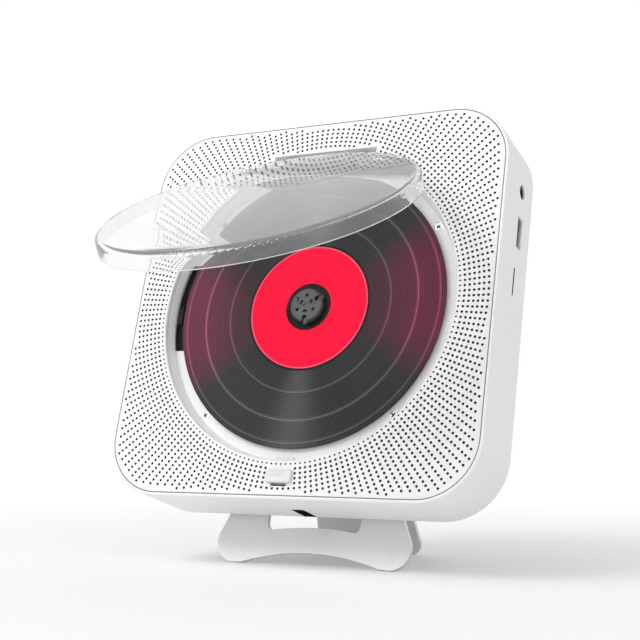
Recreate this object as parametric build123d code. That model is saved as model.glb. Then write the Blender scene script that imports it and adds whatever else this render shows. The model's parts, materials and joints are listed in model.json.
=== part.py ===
from build123d import *
import math
import os

# A flat square disc player on a bent sheet-metal stand. Every piece is drawn in the player's own
# frame and set on its stand at the end: X to the viewer's right, Y up along the face, Z out of the
# face. The disc axis is X = Y = 0 and the face of the front panel is Z = 0. Sizes in millimetres.

# ---- Driving sizes: body --------------------------------------------------------------------
body_border = 16.5  # from the well's opening out to the side of the housing
body_depth = 34.0  # face to back
body_corner_r = 25.5
wall = 2.2
rim = 1.2  # edge of the housing seen round the front panel
rear_edge_r = 3.0
front_edge_r = 0.8
face_y = 1.1  # centre of the face above the disc axis
panel_t = 2.2
panel_gap = 0.1
panel_edge_r = 0.5
skirt_t = 1.2  # locating skirt under the panel
skirt_h = 3.0

# ---- Driving sizes: grille ------------------------------------------------------------------
holes_per_ring = 200
first_ring_out = 1.45  # innermost ring of holes outside the well's opening
ring_pitch = 1.956
hole_d = 1.2
hole_sides = 6

# ---- Driving sizes: disc and well -------------------------------------------------------------
disc_d = 120.0
disc_t = 1.2
disc_bore_d = 15.0
disc_top = -4.4
label_r = 26.7
label_bore_r = 10.2
label_t = 0.15
disc_room = 4.5  # from the disc's edge to the foot of the well's wall
well_draft = 1.5  # the well's wall leans out by this much
well_lip_r = 1.5
well_floor = -6.5
well_t = 1.5
well_flange = 2.6
window_low = -17.0  # mechanism window in the well floor
window_high = 24.0
window_right = 24.0
window_margin = 1.3  # the window's round end lies this much outside the foot of the well wall

# ---- Driving sizes: lid and hinge -------------------------------------------------------------
lid_side_gap = 2.3  # round the closed lid
lid_top = 1.9  # closed, above the face
lid_height = 6.9
lid_t = 1.6
lid_edge_r = 2.4
lid_open = 47.6  # degrees, as it stands in the photograph
hinge_out = 0.7  # hinge axis outside the lid's side
hinge_z = -3.5
pin_r = 1.0
pin_fit = 0.06
lug_r = 2.2
lug_x = 14.8
lug_w = 4.0
washer_t = 0.5
washer_r = 2.3
ear_r = 2.6
ear_w = 4.2
ear_gap = 0.05
pocket_side_gap = 0.5
pocket_room = 4.4  # behind the hinge axis

# ---- Driving sizes: latch -----------------------------------------------------------------------
latch_w = 11.4
latch_h = 5.6
latch_out = 6.3  # middle of the button below the well's opening
latch_t = 1.4
latch_edge_r = 0.6
latch_stem_w = 6.4
latch_stem_h = 2.4
latch_slide_w = 8.0
latch_slide_t = 1.5
latch_travel = 2.5
latch_tip_gap = 0.4  # from the hook's nose to the lid
latch_tail = 2.9  # slider below the middle of the button
latch_ear_up = 1.7  # lower side of the ears that the springs push, above the button's middle
latch_ear_w = 1.3
latch_ear_deep = 2.45
latch_spring_x = 6.6
latch_spring_r = 0.9
latch_wire_r = 0.25
latch_turns = 4
clear = 0.25  # general moving clearance

# ---- Driving sizes: mechanism -------------------------------------------------------------------
deck_top = -10.1
deck_t = 1.6
deck_end = 13.9  # deck beyond the outer end of the lens slot
deck_right = 35.8
deck_low = -30.8
deck_high = 34.8
deck_corner_r = 5.0
deck_skirt_t = 1.4
deck_skirt_h = 4.0
slot_half = 7.0
lens_inner = 25.0  # lens to spindle at the disc's inner tracks
disc_edge = 2.0  # disc's edge outside its outermost track
lens_r = 2.6
barrel_r = 4.6
barrel_h = 3.6
sled_ahead = 9.5  # sled body from the lens towards the spindle
sled_behind = 12.0
sled_half = 18.0
sled_t = 5.6
sled_gap = 0.6  # under the deck plate
rod_y = 15.0
rod_r = 1.5
rod_fit = 0.05
rod_post_w = 3.0
rod_post_half = 2.4
rod_inner_x = -8.0
motor_r = 12.2
motor_h = 9.6
shaft_r = 1.0
shaft_fit = 0.05
flange_r = 14.5
pad_t = 0.6
pad_w = 3.0
flange_t = 1.2
hub_r = 7.3
hub_rise = 2.4  # hub above the disc
claw_count = 3
claw_w = 1.8
claw_out = 0.6  # claw beyond the disc's bore at rest
claw_len = 2.6
claw_t = 1.3
claw_travel = 0.8

# ---- Driving sizes: sled drive --------------------------------------------------------------------
module = 0.5
pressure_angle = 25.0
backlash = 0.05  # taken off each flank
rack_bar = 1.5
rack_t = 1.6
small_teeth = 14
big_teeth = 40
pinion_teeth = 12
gear_x = -38.0
pinion_angle = 55.0
gear_small_t = 2.0
gear_big_t = 1.4
gear_gap = 0.3
stud_r = 0.8
stud_fit = 0.06
sled_motor_r = 7.5
sled_motor_h = 6.4

# ---- Driving sizes: fixings -----------------------------------------------------------------------
screw_r = 1.2
screw_fit = 0.06
head_r = 2.3
head_h = 1.5
well_screw_head_r = 1.7
well_screw_head_h = 1.0
well_screw_gap = 0.7  # between the disc's edge and the screw heads
well_screw_angles = (32, 140, 227, 313)
well_boss_r = 2.9
post_r = 4.0
boss_depth = 13.0  # where panel bosses and housing posts meet, below the face
housing_screw_seat = 3.4
grommet_bore = 2.1
grommet_r = 4.8
grommet_neck = 3.2
grommet_lip = 1.3
grommet_gap = 0.1  # to the deck's skirt
grommet_ahead = 23.0  # outer pair, from the deck's outer end
grommet_up = 20.0  # inner pair, from the disc axis
deck_boss_r = 2.0

# ---- Driving sizes: sound, boards and keys ----------------------------------------------------------
speaker_r = 15.0
speaker_side = 22.5  # centre to the side of the housing
speaker_low = 20.4  # centre to the bottom of the housing
cone_r = 12.0
speaker_ledge = 1.5  # cone's seat below the panel
speaker_cone_depth = 4.7
magnet_r = 8.0
magnet_h = 6.0
board_t = 1.6
board_top = -22.4
board_w = 21.5
board_gap = 0.8  # board edge to the side wall
board_low = -28.0
board_high = 60.0
jack_y = 51.4
jack_z = -18.8
jack_r = 1.8
jack_collar_r = 2.9
jack_len = 12.0
usb_y = 33.7
usb_w = 13.2
usb_h = 5.6
usb_len = 14.0
usb_shell = 0.4
usb_tongue_t = 1.8
card_y = 12.0
card_z = -17.2
card_w = 11.6
card_gap_h = 1.3
card_len = 15.0
inlet_w = 5.6
inlet_l = 13.0
inlet_front = -18.4
inlet_deep = 6.0
cell_l = 58.0
cell_w = 38.0
cell_t = 6.4
cell_x = -35.0
cell_y = -9.0
key_count = 6
key_pitch = 16.0
key_w = 9.0
key_h = 5.0
key_z = -17.0
key_proud = 0.9
key_flange_t = 1.0
key_stem = 1.0
key_travel = 0.6
switch_side = 6.0
switch_h = 3.4
key_board_l = 104.0
key_board_w = 10.0
key_board_t = 1.2

# ---- Driving sizes: stand and wall mount --------------------------------------------------------------
tilt = 16.5  # degrees the face leans back
sheet_t = 2.0
fold_y = -20.0
fold_r = 2.5
leg_angle = 38.0  # degrees between plate and rear leg
plate_top_half = 24.0
plate_waist_half = 40.3
plate_waist_out = 0.6  # widest line of the plate below the housing
plate_foot_x = 35.2
plate_foot_r = 8.8
plate_drop = 19.5  # feet below the housing
plate_arch = 5.1
leg_waist_half = 23.0
leg_foot_x = 19.0
leg_foot_r = 6.0
leg_arch = 3.0
stand_window_half = 21.3
stand_window_sill = 13.7  # lower side of the window above the feet
stand_window_h = 25.2
stand_window_r = 3.5
stand_window_arch = 1.8
foot_flat = 0.3  # ground off the round feet
stand_screw_x = 15.0
stand_screw_ys = (-36.0, -52.0)
insert_r = 2.0
insert_len = 5.2
keyhole_x = 30.0
keyhole_y = 40.0
keyhole_head_r = 4.0
keyhole_neck_r = 2.1
keyhole_run = 7.0
vent_count = 6
vent_pitch = 4.0
vent_l = 26.0
vent_w = 1.6
vent_y = 48.0

# ---- Derived places -------------------------------------------------------------------------------
well_floor_r = disc_d / 2 + disc_room
well_r = well_floor_r + well_draft
body_side = 2 * (well_r + body_border)
body_half = body_side / 2
back = -body_depth
floor_in = back + wall  # inside face of the back
top_out = face_y + body_half
top_in = top_out - wall
bottom_out = face_y - body_half
side_in = body_half - wall
panel_side = body_side - 2 * (rim + panel_gap)
panel_r = body_corner_r - rim - panel_gap
first_ring_r = well_r + first_ring_out
lid_r = well_r - lid_side_gap
hinge_y = lid_r + hinge_out
pocket_y = hinge_y + pocket_room
latch_y = -(well_r + latch_out)
latch_tip_y = -(lid_r + latch_tip_gap)
latch_ear_y = latch_y + latch_ear_up
disc_low = disc_top - disc_t
well_under = well_floor - well_t
deck_low_z = deck_top - deck_t
sled_top = deck_low_z - sled_gap
sled_low = sled_top - sled_t
rod_z = (sled_top + sled_low) / 2
lens_travel = disc_d / 2 - disc_edge - lens_inner
slot_left = -(lens_inner + lens_travel + barrel_r + 2 * clear)
slot_right = -(lens_inner - barrel_r - 4 * clear)
deck_left = slot_left - deck_end
hub_top = disc_top + hub_rise
flange_top = disc_low - pad_t
flange_low = flange_top - flange_t
tooth_pitch = math.pi * module
small_r = module * small_teeth / 2
big_r = module * big_teeth / 2
pinion_r = module * pinion_teeth / 2
rack_pitch_y = sled_half + rack_bar + 1.2 * module
gear_y = rack_pitch_y + small_r
rack_top = rod_z + rack_t / 2
rack_low = rod_z - rack_t / 2
big_top = sled_low - gear_gap
big_low = big_top - gear_big_t
pinion_x = gear_x + (big_r + pinion_r) * math.cos(math.radians(pinion_angle))
pinion_y = gear_y + (big_r + pinion_r) * math.sin(math.radians(pinion_angle))
grommet_in = deck_skirt_t + grommet_r + grommet_gap
grommet_points = (
    (deck_left + grommet_ahead, deck_low + grommet_in),
    (deck_left + grommet_ahead, deck_high - grommet_in),
    (deck_right - grommet_in, -grommet_up),
    (deck_right - grommet_in, grommet_up),
)
well_screw_r = disc_d / 2 + well_screw_gap + well_screw_head_r
well_screw_points = [
    (well_screw_r * math.cos(math.radians(a)), well_screw_r * math.sin(math.radians(a))) for a in well_screw_angles
]
well_seat = well_floor - well_screw_head_h - 0.1  # under the sunk screw heads
well_boss_low = well_seat - well_t
post_points = (
    (body_half - 10.5, face_y + body_half - 18.6),
    (-(body_half - 10.5), face_y + body_half - 18.6),
    (body_half - 8.5, -38.0),
    (-(body_half - 8.5), -38.0),
)
speaker_x = body_half - speaker_side
speaker_y = bottom_out + speaker_low
board_right = side_in - board_gap
board_left = board_right - board_w
board_low_z = board_top - board_t
standoff_points = (
    (board_left + 4, board_low + 4),
    (board_right - 4, board_low + 4),
    (board_left + 4, board_high - 4),
)
key_xs = [key_pitch * (i - (key_count - 1) / 2) for i in range(key_count)]
key_names = ("power", "source", "volume", "previous", "play", "next")
key_flange_top = top_in - clear
key_stem_low = key_flange_top - key_flange_t - key_stem
plunger_top = key_stem_low - key_travel - 0.1
key_board_top = plunger_top - switch_h - 0.5
stand_back = back - sheet_t
plate_low = bottom_out - plate_drop
plate_waist_y = bottom_out - plate_waist_out
stand_window_low = plate_low + stand_window_sill
stand_window_high = stand_window_low + stand_window_h
ear_x = lug_x + lug_w + washer_t + 2 * ear_gap
pocket_half = ear_x + ear_w + pocket_side_gap


# ---- Small helpers ----------------------------------------------------------------------------------
def block(x0, x1, y0, y1, z0, z1):
    """A box between two corners."""
    return Pos((x0 + x1) / 2, (y0 + y1) / 2, (z0 + z1) / 2) * Box(x1 - x0, y1 - y0, z1 - z0)


def post(x, y, z0, z1, r):
    """A round post along Z between two heights."""
    return Pos(x, y, (z0 + z1) / 2) * Cylinder(r, z1 - z0)


def bar_x(y, z, x0, x1, r):
    """A round bar along X."""
    return Pos((x0 + x1) / 2, y, z) * Rot(0, 90, 0) * Cylinder(r, x1 - x0)


def bar_y(x, z, y0, y1, r):
    """A round bar along Y."""
    return Pos(x, (y0 + y1) / 2, z) * Rot(90, 0, 0) * Cylinder(r, y1 - y0)


def tile(side, corner, z0, z1):
    """A square tile with round corners, centred on the face."""
    return Pos(0, face_y, z0) * extrude(RectangleRounded(side, side, corner), z1 - z0)


def turned(points):
    """A solid of revolution about the disc axis from (radius, height) points."""
    outline = Polyline(*[(r, 0, z) for r, z in points], close=True)
    return revolve(make_face(outline), Axis.Z, 360)


def screw(x, y, seat, tip, direction):
    """A pan-head screw along Z: the head lies outside the seat, the shank runs to the tip."""
    head = post(x, y, min(seat, seat + direction * head_h), max(seat, seat + direction * head_h), head_r)
    return head + post(x, y, min(seat, tip), max(seat, tip), screw_r)


def side_pairs(x):
    return (-x, x)


# ---- Gears ----------------------------------------------------------------------------------------------
def involute_angle(radius, base_r):
    """Polar angle of an involute at a radius, from where it leaves its base circle."""
    ratio = math.sqrt(max((radius / base_r) ** 2 - 1, 0))
    return ratio - math.atan(ratio)


def gear(teeth, thickness, phase):
    """A spur gear about Z from Z = 0 up, with one tooth centred on the phase angle in degrees."""
    pitch_r = module * teeth / 2
    base_r = pitch_r * math.cos(math.radians(pressure_angle))
    root_r = pitch_r - 1.2 * module
    tip_r = pitch_r + 0.9 * module
    half_tooth = math.pi / (2 * teeth) - backlash / pitch_r + involute_angle(pitch_r, base_r)
    flank = [root_r] + [r for r in (base_r, pitch_r, tip_r) if r > root_r]
    points = []
    for tooth in range(teeth):
        middle = math.radians(phase) + 2 * math.pi * tooth / teeth
        for r in flank:
            angle = middle - half_tooth + involute_angle(r, base_r)
            points.append((r * math.cos(angle), r * math.sin(angle)))
        for r in reversed(flank):
            angle = middle + half_tooth - involute_angle(r, base_r)
            points.append((r * math.cos(angle), r * math.sin(angle)))
    return extrude(make_face(Polyline(*points, close=True)), thickness)


def rack_outline():
    """The rack at rest: its teeth face up, one of them centred under the gear."""
    lean = math.tan(math.radians(pressure_angle))
    tip_half = tooth_pitch / 4 - backlash - 0.9 * module * lean
    root_half = tooth_pitch / 4 - backlash + 1.2 * module * lean
    root_y = rack_pitch_y - 1.2 * module
    tip_y = rack_pitch_y + 0.9 * module
    count = math.ceil((lens_travel + 3.0) / tooth_pitch)
    points = [(gear_x - tooth_pitch, sled_half), (gear_x - tooth_pitch, root_y)]
    for k in range(count + 1):
        x = gear_x + k * tooth_pitch
        points += [(x - root_half, root_y), (x - tip_half, tip_y), (x + tip_half, tip_y), (x + root_half, root_y)]
    end = gear_x + (count + 1) * tooth_pitch
    return Polyline(*points, (end, root_y), (end, sled_half), close=True)


# ---- Casing ---------------------------------------------------------------------------------------------
def grille_points(cx, cy, reach):
    """Centres of the grille's holes that lie within a reach of a point."""
    points = []
    step = 2 * math.pi / holes_per_ring
    rings = int((math.hypot(cx, cy) + reach - first_ring_r) / ring_pitch) + 1
    for ring in range(rings):
        r = first_ring_r + ring * ring_pitch
        for k in range(holes_per_ring):
            x = r * math.cos(k * step)
            y = r * math.sin(k * step)
            if math.hypot(x - cx, y - cy) < reach:
                points.append((x, y))
    return points


def front_panel():
    panel = tile(panel_side, panel_r, -panel_t, 0)
    panel -= post(0, 0, -panel_t - 1, 1, well_r)
    face_edges = panel.faces().sort_by(Axis.Z)[-1].edges()
    lip = face_edges.filter_by(lambda e: e.geom_type == GeomType.CIRCLE and abs(e.radius - well_r) < 0.01)
    panel = fillet(lip, well_lip_r)
    outer = panel.faces().sort_by(Axis.Z)[-1].outer_wire().edges()
    panel = fillet(outer, panel_edge_r)
    # notch over the hinge, and the slot of the latch stem
    panel -= block(-pocket_half, pocket_half, well_r * 0.8, pocket_y, -panel_t - 1, 1)
    panel -= block(
        -latch_stem_w / 2 - clear,
        latch_stem_w / 2 + clear,
        latch_y - latch_stem_h / 2 - latch_travel - clear,
        latch_y + latch_stem_h / 2 + clear,
        -panel_t - 1,
        1,
    )
    # locating skirt just inside the housing wall
    inner_side = body_side - 2 * (wall + panel_gap)
    inner_r = body_corner_r - wall - panel_gap
    skirt = tile(inner_side, inner_r, -panel_t - skirt_h, -panel_t)
    skirt -= tile(inner_side - 2 * skirt_t, inner_r - skirt_t, -panel_t - skirt_h - 1, -panel_t + 1)
    panel += skirt
    for x, y in post_points:
        panel += post(x, y, -boss_depth, -panel_t, post_r)
        panel -= post(x, y, -boss_depth - 1, -panel_t - 2, screw_r + screw_fit)
    for side in side_pairs(speaker_x):
        ring = post(side, speaker_y, -panel_t - skirt_h, -panel_t, speaker_r + clear + skirt_t)
        panel += ring - post(side, speaker_y, -panel_t - skirt_h - 1, -panel_t, speaker_r + clear)
        holes = [Pos(x, y) * RegularPolygon(hole_d / 2, hole_sides) for x, y in grille_points(side, speaker_y, cone_r)]
        panel -= Pos(0, 0, -panel_t - 1) * extrude(Sketch() + holes, panel_t + 2)
    # rails on either side of the latch slider
    rail_low = slide_low() - 0.5
    for side in (-1, 1):
        x0, x1 = sorted((side * (latch_slide_w / 2 + clear), side * (latch_slide_w / 2 + clear + 0.8)))
        panel += block(x0, x1, spring_stop_y(), latch_ear_y - latch_travel - 0.4, rail_low, -panel_t)
    return panel


def slide_low():
    return -panel_t - clear - latch_slide_t


def spring_stop_y():
    """Inner face of the panel's lower skirt, where the latch springs rest."""
    return face_y - body_half + wall + panel_gap + skirt_t


def rear_housing():
    shell = tile(body_side, body_corner_r, back, 0)
    shell = fillet(shell.faces().sort_by(Axis.Z)[0].edges(), rear_edge_r)
    shell = fillet(shell.faces().sort_by(Axis.Z)[-1].edges(), front_edge_r)
    shell -= tile(body_side - 2 * wall, body_corner_r - wall, floor_in, 1)
    shell -= tile(body_side - 2 * rim, body_corner_r - rim, -panel_t, 1)
    # posts of the housing screws and of the well
    for x, y in post_points:
        shell += post(x, y, floor_in, -boss_depth, post_r)
        shell -= post(x, y, back - 1, -boss_depth + 1, screw_r + screw_fit)
        shell -= post(x, y, back - 1, back + housing_screw_seat, head_r + clear)
    for x, y in well_screw_points:
        shell += post(x, y, floor_in, well_boss_low, well_boss_r)
        shell -= post(x, y, well_boss_low - 9, well_boss_low + 1, screw_r + screw_fit)
    # bosses that hold the stand's brass inserts
    for x in side_pairs(stand_screw_x):
        for y in stand_screw_ys:
            shell += post(x, y, floor_in, back + insert_len + 1.2, insert_r + 1.6)
            shell -= post(x, y, back - 1, back + insert_len, insert_r + screw_fit)
    # keyholes: round mouth, neck running up
    for x in side_pairs(keyhole_x):
        shell -= post(x, keyhole_y, back - 1, floor_in + 1, keyhole_head_r)
        shell -= post(x, keyhole_y + keyhole_run, back - 1, floor_in + 1, keyhole_neck_r)
        shell -= block(
            x - keyhole_neck_r, x + keyhole_neck_r, keyhole_y, keyhole_y + keyhole_run, back - 1, floor_in + 1
        )
    for k in range(vent_count):
        y = vent_y + vent_pitch * (k - (vent_count - 1) / 2)
        slot = extrude(SlotOverall(vent_l, vent_w), wall + 2)
        shell -= Pos(0, y, back - 1) * slot
    # standoffs of the main board, each with a locating pin
    for x, y in standoff_points:
        shell += post(x, y, floor_in, board_low_z, 2.6)
        shell += post(x, y, board_low_z, board_top + 0.6, 1.0)
    # frame round the cell
    frame = block(
        cell_x - cell_l / 2 - 1.5,
        cell_x + cell_l / 2 + 1.5,
        cell_y - cell_w / 2 - 1.5,
        cell_y + cell_w / 2 + 1.5,
        floor_in,
        floor_in + 3.0,
    )
    frame -= block(
        cell_x - cell_l / 2 - clear,
        cell_x + cell_l / 2 + clear,
        cell_y - cell_w / 2 - clear,
        cell_y + cell_w / 2 + clear,
        floor_in,
        floor_in + 4.0,
    )
    shell += frame
    # ledges under the ends of the key board
    for side in (-1, 1):
        x0, x1 = sorted((side * (key_board_l / 2 - 4), side * (key_board_l / 2)))
        shell += block(x0, x1, key_board_top - key_board_t - 4, key_board_top - key_board_t, floor_in, key_z + 4)
    # openings of the sockets and keys
    shell -= bar_x(jack_y, jack_z, side_in - 1, body_half + 1, jack_collar_r + 0.1)
    usb_z = board_top + usb_h / 2
    shell -= block(
        side_in - 1,
        body_half + 1,
        usb_y - usb_w / 2 - 0.1,
        usb_y + usb_w / 2 + 0.1,
        usb_z - usb_h / 2 - 0.1,
        usb_z + usb_h / 2 + 0.1,
    )
    shell -= block(
        side_in - 1, body_half + 1, card_y - card_w / 2, card_y + card_w / 2, card_z - card_gap_h / 2, card_z + card_gap_h / 2
    )
    shell -= block(
        -inlet_w / 2, inlet_w / 2, bottom_out - 1, bottom_out + wall + 1, inlet_front - inlet_l, inlet_front
    )
    for x in key_xs:
        pill = extrude(SlotOverall(key_w + 2 * clear, key_h + 2 * clear), wall + 2)
        shell -= Pos(x, top_in - 1, key_z) * Rot(-90, 0, 0) * pill
    return shell


def disc_well():
    well = turned(
        [
            (0, well_floor),
            (well_floor_r, well_floor),
            (well_r, -panel_t),
            (well_r + well_flange, -panel_t),
            (well_r + well_flange, -panel_t - well_t),
            (well_r + well_t, -panel_t - well_t),
            (well_floor_r + well_t, well_under),
            (0, well_under),
        ]
    )
    # pocket behind the hinge, walled outside the round of the well
    wall_out = pocket_half + well_t
    round_of_well = turned(
        [(0, well_floor), (well_floor_r, well_floor), (well_r, -panel_t), (well_r, 0), (0, 0)]
    )
    pocket = block(-wall_out, wall_out, hinge_y - 6, pocket_y + well_t, well_under, -panel_t)
    well += pocket - round_of_well
    well -= block(-pocket_half, pocket_half, hinge_y - 8, pocket_y, well_floor, 1)
    for side in (-1, 1):
        x0, x1 = sorted((side * ear_x, side * (ear_x + ear_w)))
        ear = bar_x(hinge_y, hinge_z, x0, x1, ear_r)
        ear += block(x0, x1, hinge_y - ear_r, hinge_y + ear_r, well_floor, hinge_z)
        ear += block(x0, x1, hinge_y, pocket_y, well_floor, hinge_z)
        well += ear - bar_x(hinge_y, hinge_z, x0 - 1, x1 + 1, pin_r + pin_fit)
    # window over the mechanism, round at its left end
    opening = block(-well_r, window_right, window_low, window_high, well_under - 1, well_floor + 1)
    well -= opening & post(0, 0, well_under - 2, well_floor + 2, well_floor_r + window_margin)
    # notch for the latch hook
    half = latch_slide_w / 2 + clear
    well -= block(-half, half, -well_r - well_flange - 1, -well_floor_r + 1, slide_low() - clear, 0)
    for x, y in well_screw_points:
        well += post(x, y, well_boss_low, well_under, well_boss_r)
        well -= post(x, y, well_boss_low - 1, well_floor + 1, screw_r + screw_fit)
        well -= post(x, y, well_seat, well_floor + 1, well_screw_head_r + 0.1)
    # bosses that carry the mechanism deck in its grommets
    for x, y in grommet_points:
        well += post(x, y, grommet_top(), well_under, grommet_r - 0.6)
        well += post(x, y, grommet_low(), grommet_top(), deck_boss_r)
        well -= post(x, y, grommet_low() - 1, well_under, screw_r * 0.7 + screw_fit)
    return well


def grommet_top():
    return deck_top + grommet_lip


def grommet_low():
    return deck_low_z - grommet_lip


# ---- Lid and latch ----------------------------------------------------------------------------------------
def opened(piece):
    """Turns a piece drawn with the lid closed to where the open lid holds it."""
    return Pos(0, hinge_y, hinge_z) * Rot(-lid_open, 0, 0) * Pos(0, -hinge_y, -hinge_z) * piece


def lid():
    rim_low = lid_top - lid_height
    cup = post(0, 0, rim_low, lid_top, lid_r)
    cup = fillet(cup.faces().sort_by(Axis.Z)[-1].edges(), lid_edge_r)
    hollow = post(0, 0, rim_low - 1, lid_top - lid_t, lid_r - lid_t)
    hollow = fillet(hollow.faces().sort_by(Axis.Z)[-1].edges(), lid_edge_r - lid_t)
    cup -= hollow
    for side in (-1, 1):
        x0, x1 = sorted((side * lug_x, side * (lug_x + lug_w)))
        rim_y = math.sqrt((lid_r - lid_t / 2) ** 2 - (lug_x + lug_w / 2) ** 2) - 0.4
        lug = bar_x(hinge_y, hinge_z, x0, x1, lug_r)
        lug += block(x0, x1, rim_y, hinge_y, max(rim_low, hinge_z - lug_r), hinge_z + lug_r)
        cup += lug
        cup -= bar_x(hinge_y, hinge_z, x0 - 1, x1 + 1, pin_r + pin_fit)
    return opened(cup)


def hinge_pins():
    return [bar_x(hinge_y, hinge_z, *sorted((s * (lug_x - 0.6), s * (ear_x + ear_w))), pin_r) for s in (-1, 1)]


def hinge_washers():
    rings = []
    for side in (-1, 1):
        x0, x1 = sorted((side * (lug_x + lug_w + ear_gap), side * (lug_x + lug_w + ear_gap + washer_t)))
        rings.append(bar_x(hinge_y, hinge_z, x0, x1, washer_r) - bar_x(hinge_y, hinge_z, x0 - 1, x1 + 1, pin_r + pin_fit))
    return rings


def latch():
    cap_low = 0.1
    cap = block(
        -latch_w / 2, latch_w / 2, latch_y - latch_h / 2, latch_y + latch_h / 2, cap_low, cap_low + latch_t
    )
    cap = fillet(cap.edges().filter_by(Axis.Z), 1.2)
    cap = fillet(cap.faces().sort_by(Axis.Z)[-1].edges(), latch_edge_r)
    # shallow scoop for the thumb
    scoop_r = 14.0
    cap -= Pos(0, latch_y + 0.6, cap_low + latch_t + scoop_r - 0.5) * Rot(90, 0, 0) * Cylinder(scoop_r, latch_h * 0.5)
    stem = block(
        -latch_stem_w / 2,
        latch_stem_w / 2,
        latch_y - latch_stem_h / 2,
        latch_y + latch_stem_h / 2,
        -panel_t - clear,
        cap_low,
    )
    slide = block(
        -latch_slide_w / 2, latch_slide_w / 2, latch_y - latch_tail, latch_tip_y, slide_low(), -panel_t - clear
    )
    nose = slide.edges().filter_by(Axis.X).group_by(Axis.Y)[-1].sort_by(Axis.Z)[-1]
    slide = chamfer(nose, 0.7)
    ear_x1 = latch_spring_x + latch_spring_r + latch_wire_r
    ear_low = -panel_t - clear - latch_ear_deep
    slide += block(-ear_x1, ear_x1, latch_ear_y, latch_ear_y + latch_ear_w, ear_low, -panel_t - clear)
    return cap + stem + slide


def latch_springs():
    """Return springs between the slider's ears and the panel's skirt."""
    low = spring_stop_y() + latch_wire_r + 0.05
    high = latch_ear_y - latch_wire_r - 0.05
    z = -panel_t - clear - latch_spring_r - latch_wire_r - 0.05
    springs = []
    for x in side_pairs(latch_spring_x):
        path = Pos(x, low, z) * Rot(-90, 0, 0) * Helix((high - low) / latch_turns, high - low, latch_spring_r)
        start = Plane(origin=path @ 0, z_dir=path % 0)
        springs.append(sweep(start * RegularPolygon(latch_wire_r, 6), path, is_frenet=True))
    return springs


# ---- Spindle ----------------------------------------------------------------------------------------------
def spindle_motor():
    can = post(0, 0, deck_low_z - motor_h, deck_low_z, motor_r)
    can = chamfer(can.faces().sort_by(Axis.Z)[0].edges(), 1.0)
    can += post(0, 0, deck_low_z, deck_low_z + 1.2, 3.0)
    return can - post(0, 0, deck_low_z - motor_h - 1, deck_low_z + 2, shaft_r + shaft_fit)


def spindle_shaft():
    return post(0, 0, deck_low_z - motor_h, hub_top - 0.3, shaft_r)


def claw_angles():
    return [30 + 360 * k / claw_count for k in range(claw_count)]


def turntable_hub():
    hub = post(0, 0, flange_low, flange_top, flange_r)
    nose = post(0, 0, flange_top, hub_top, hub_r)
    hub += chamfer(nose.faces().sort_by(Axis.Z)[-1].edges(), 0.6)
    hub += post(0, 0, flange_low - 1.0, flange_low, 3.0)
    hub -= post(0, 0, flange_low - 2, hub_top + 1, shaft_r + 0.01)
    # slots of the claws, then the round and oblong pockets in the top of the hub
    inner = disc_bore_d / 2 + claw_out - claw_len - claw_travel - clear
    for angle in claw_angles():
        slot = block(inner, hub_r + 1, -claw_w / 2 - 0.1, claw_w / 2 + 0.1, disc_top, hub_top + 1)
        hub -= Rot(0, 0, angle) * slot
        hub -= Rot(0, 0, angle + 60) * post(4.2, 0, hub_top - 1.2, hub_top + 1, 0.75)
        hub -= Rot(0, 0, angle) * block(2.2, 3.1, -0.9, 0.9, hub_top - 1.2, hub_top + 1)
    return hub


def turntable_pad():
    return post(0, 0, flange_top, disc_low, flange_r) - post(0, 0, flange_top - 1, disc_low + 1, flange_r - pad_w)


def disc_claw(angle):
    outer = disc_bore_d / 2 + claw_out
    low = disc_top + 0.1
    claw = block(outer - claw_len, outer, -claw_w / 2, claw_w / 2, low, low + claw_t)
    claw = chamfer(claw.edges().filter_by(Axis.Y).group_by(Axis.X)[-1].sort_by(Axis.Z)[-1], 0.5)
    return Rot(0, 0, angle) * claw


def disc():
    plate = post(0, 0, disc_low, disc_top, disc_d / 2)
    return plate - post(0, 0, disc_low - 1, disc_top + 1, disc_bore_d / 2)


def disc_label():
    return post(0, 0, disc_top, disc_top + label_t, label_r) - post(0, 0, disc_top - 1, disc_top + 1, label_bore_r)


# ---- Mechanism deck, pickup and sled drive -------------------------------------------------------------------
def deck_outline(inset):
    x0, x1, y0, y1 = deck_left + inset, deck_right - inset, deck_low + inset, deck_high - inset
    main = Pos((x0 + x1) / 2, (y0 + y1) / 2) * RectangleRounded(x1 - x0, y1 - y0, deck_corner_r - inset)
    reach = sled_motor_r + 1.5 - inset
    return main + Pos(pinion_x, pinion_y) * Circle(reach)


def mechanism_deck():
    deck = Pos(0, 0, deck_low_z) * extrude(deck_outline(0), deck_t)
    skirt = extrude(deck_outline(0) - deck_outline(deck_skirt_t), deck_skirt_h)
    deck += Pos(0, 0, deck_low_z - deck_skirt_h) * skirt
    # slot for the lens, hole for the spindle, raised stop at the slot's outer end
    lens_slot = block(slot_left, slot_right, -slot_half, slot_half, deck_low_z - 1, deck_top + 1)
    deck -= fillet(lens_slot.edges().filter_by(Axis.Z), 2.0)
    deck -= post(0, 0, deck_low_z - 1, deck_top + 1, 3.2)
    deck += block(slot_left - 3.4, slot_left - 0.4, -4.0, 4.0, deck_top, well_under)
    for y in side_pairs(rod_y):
        for x0 in (rod_inner_x - rod_post_w, deck_left):
            low = rod_z - rod_r - 1.2
            deck += block(x0, x0 + rod_post_w, y - rod_post_half, y + rod_post_half, low, deck_low_z)
        deck -= bar_x(y, rod_z, deck_left + 0.8, rod_inner_x - 0.8, rod_r + rod_fit)
    for x, y in grommet_points:
        deck -= post(x, y, deck_low_z - 1, deck_top + 1, grommet_neck + clear / 2)
    deck += post(gear_x, gear_y, rack_top + 0.5, deck_low_z, stud_r + 1.2)
    deck -= post(gear_x, gear_y, rack_top - 1, deck_top + 1, stud_r + 0.02)
    return deck


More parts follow.
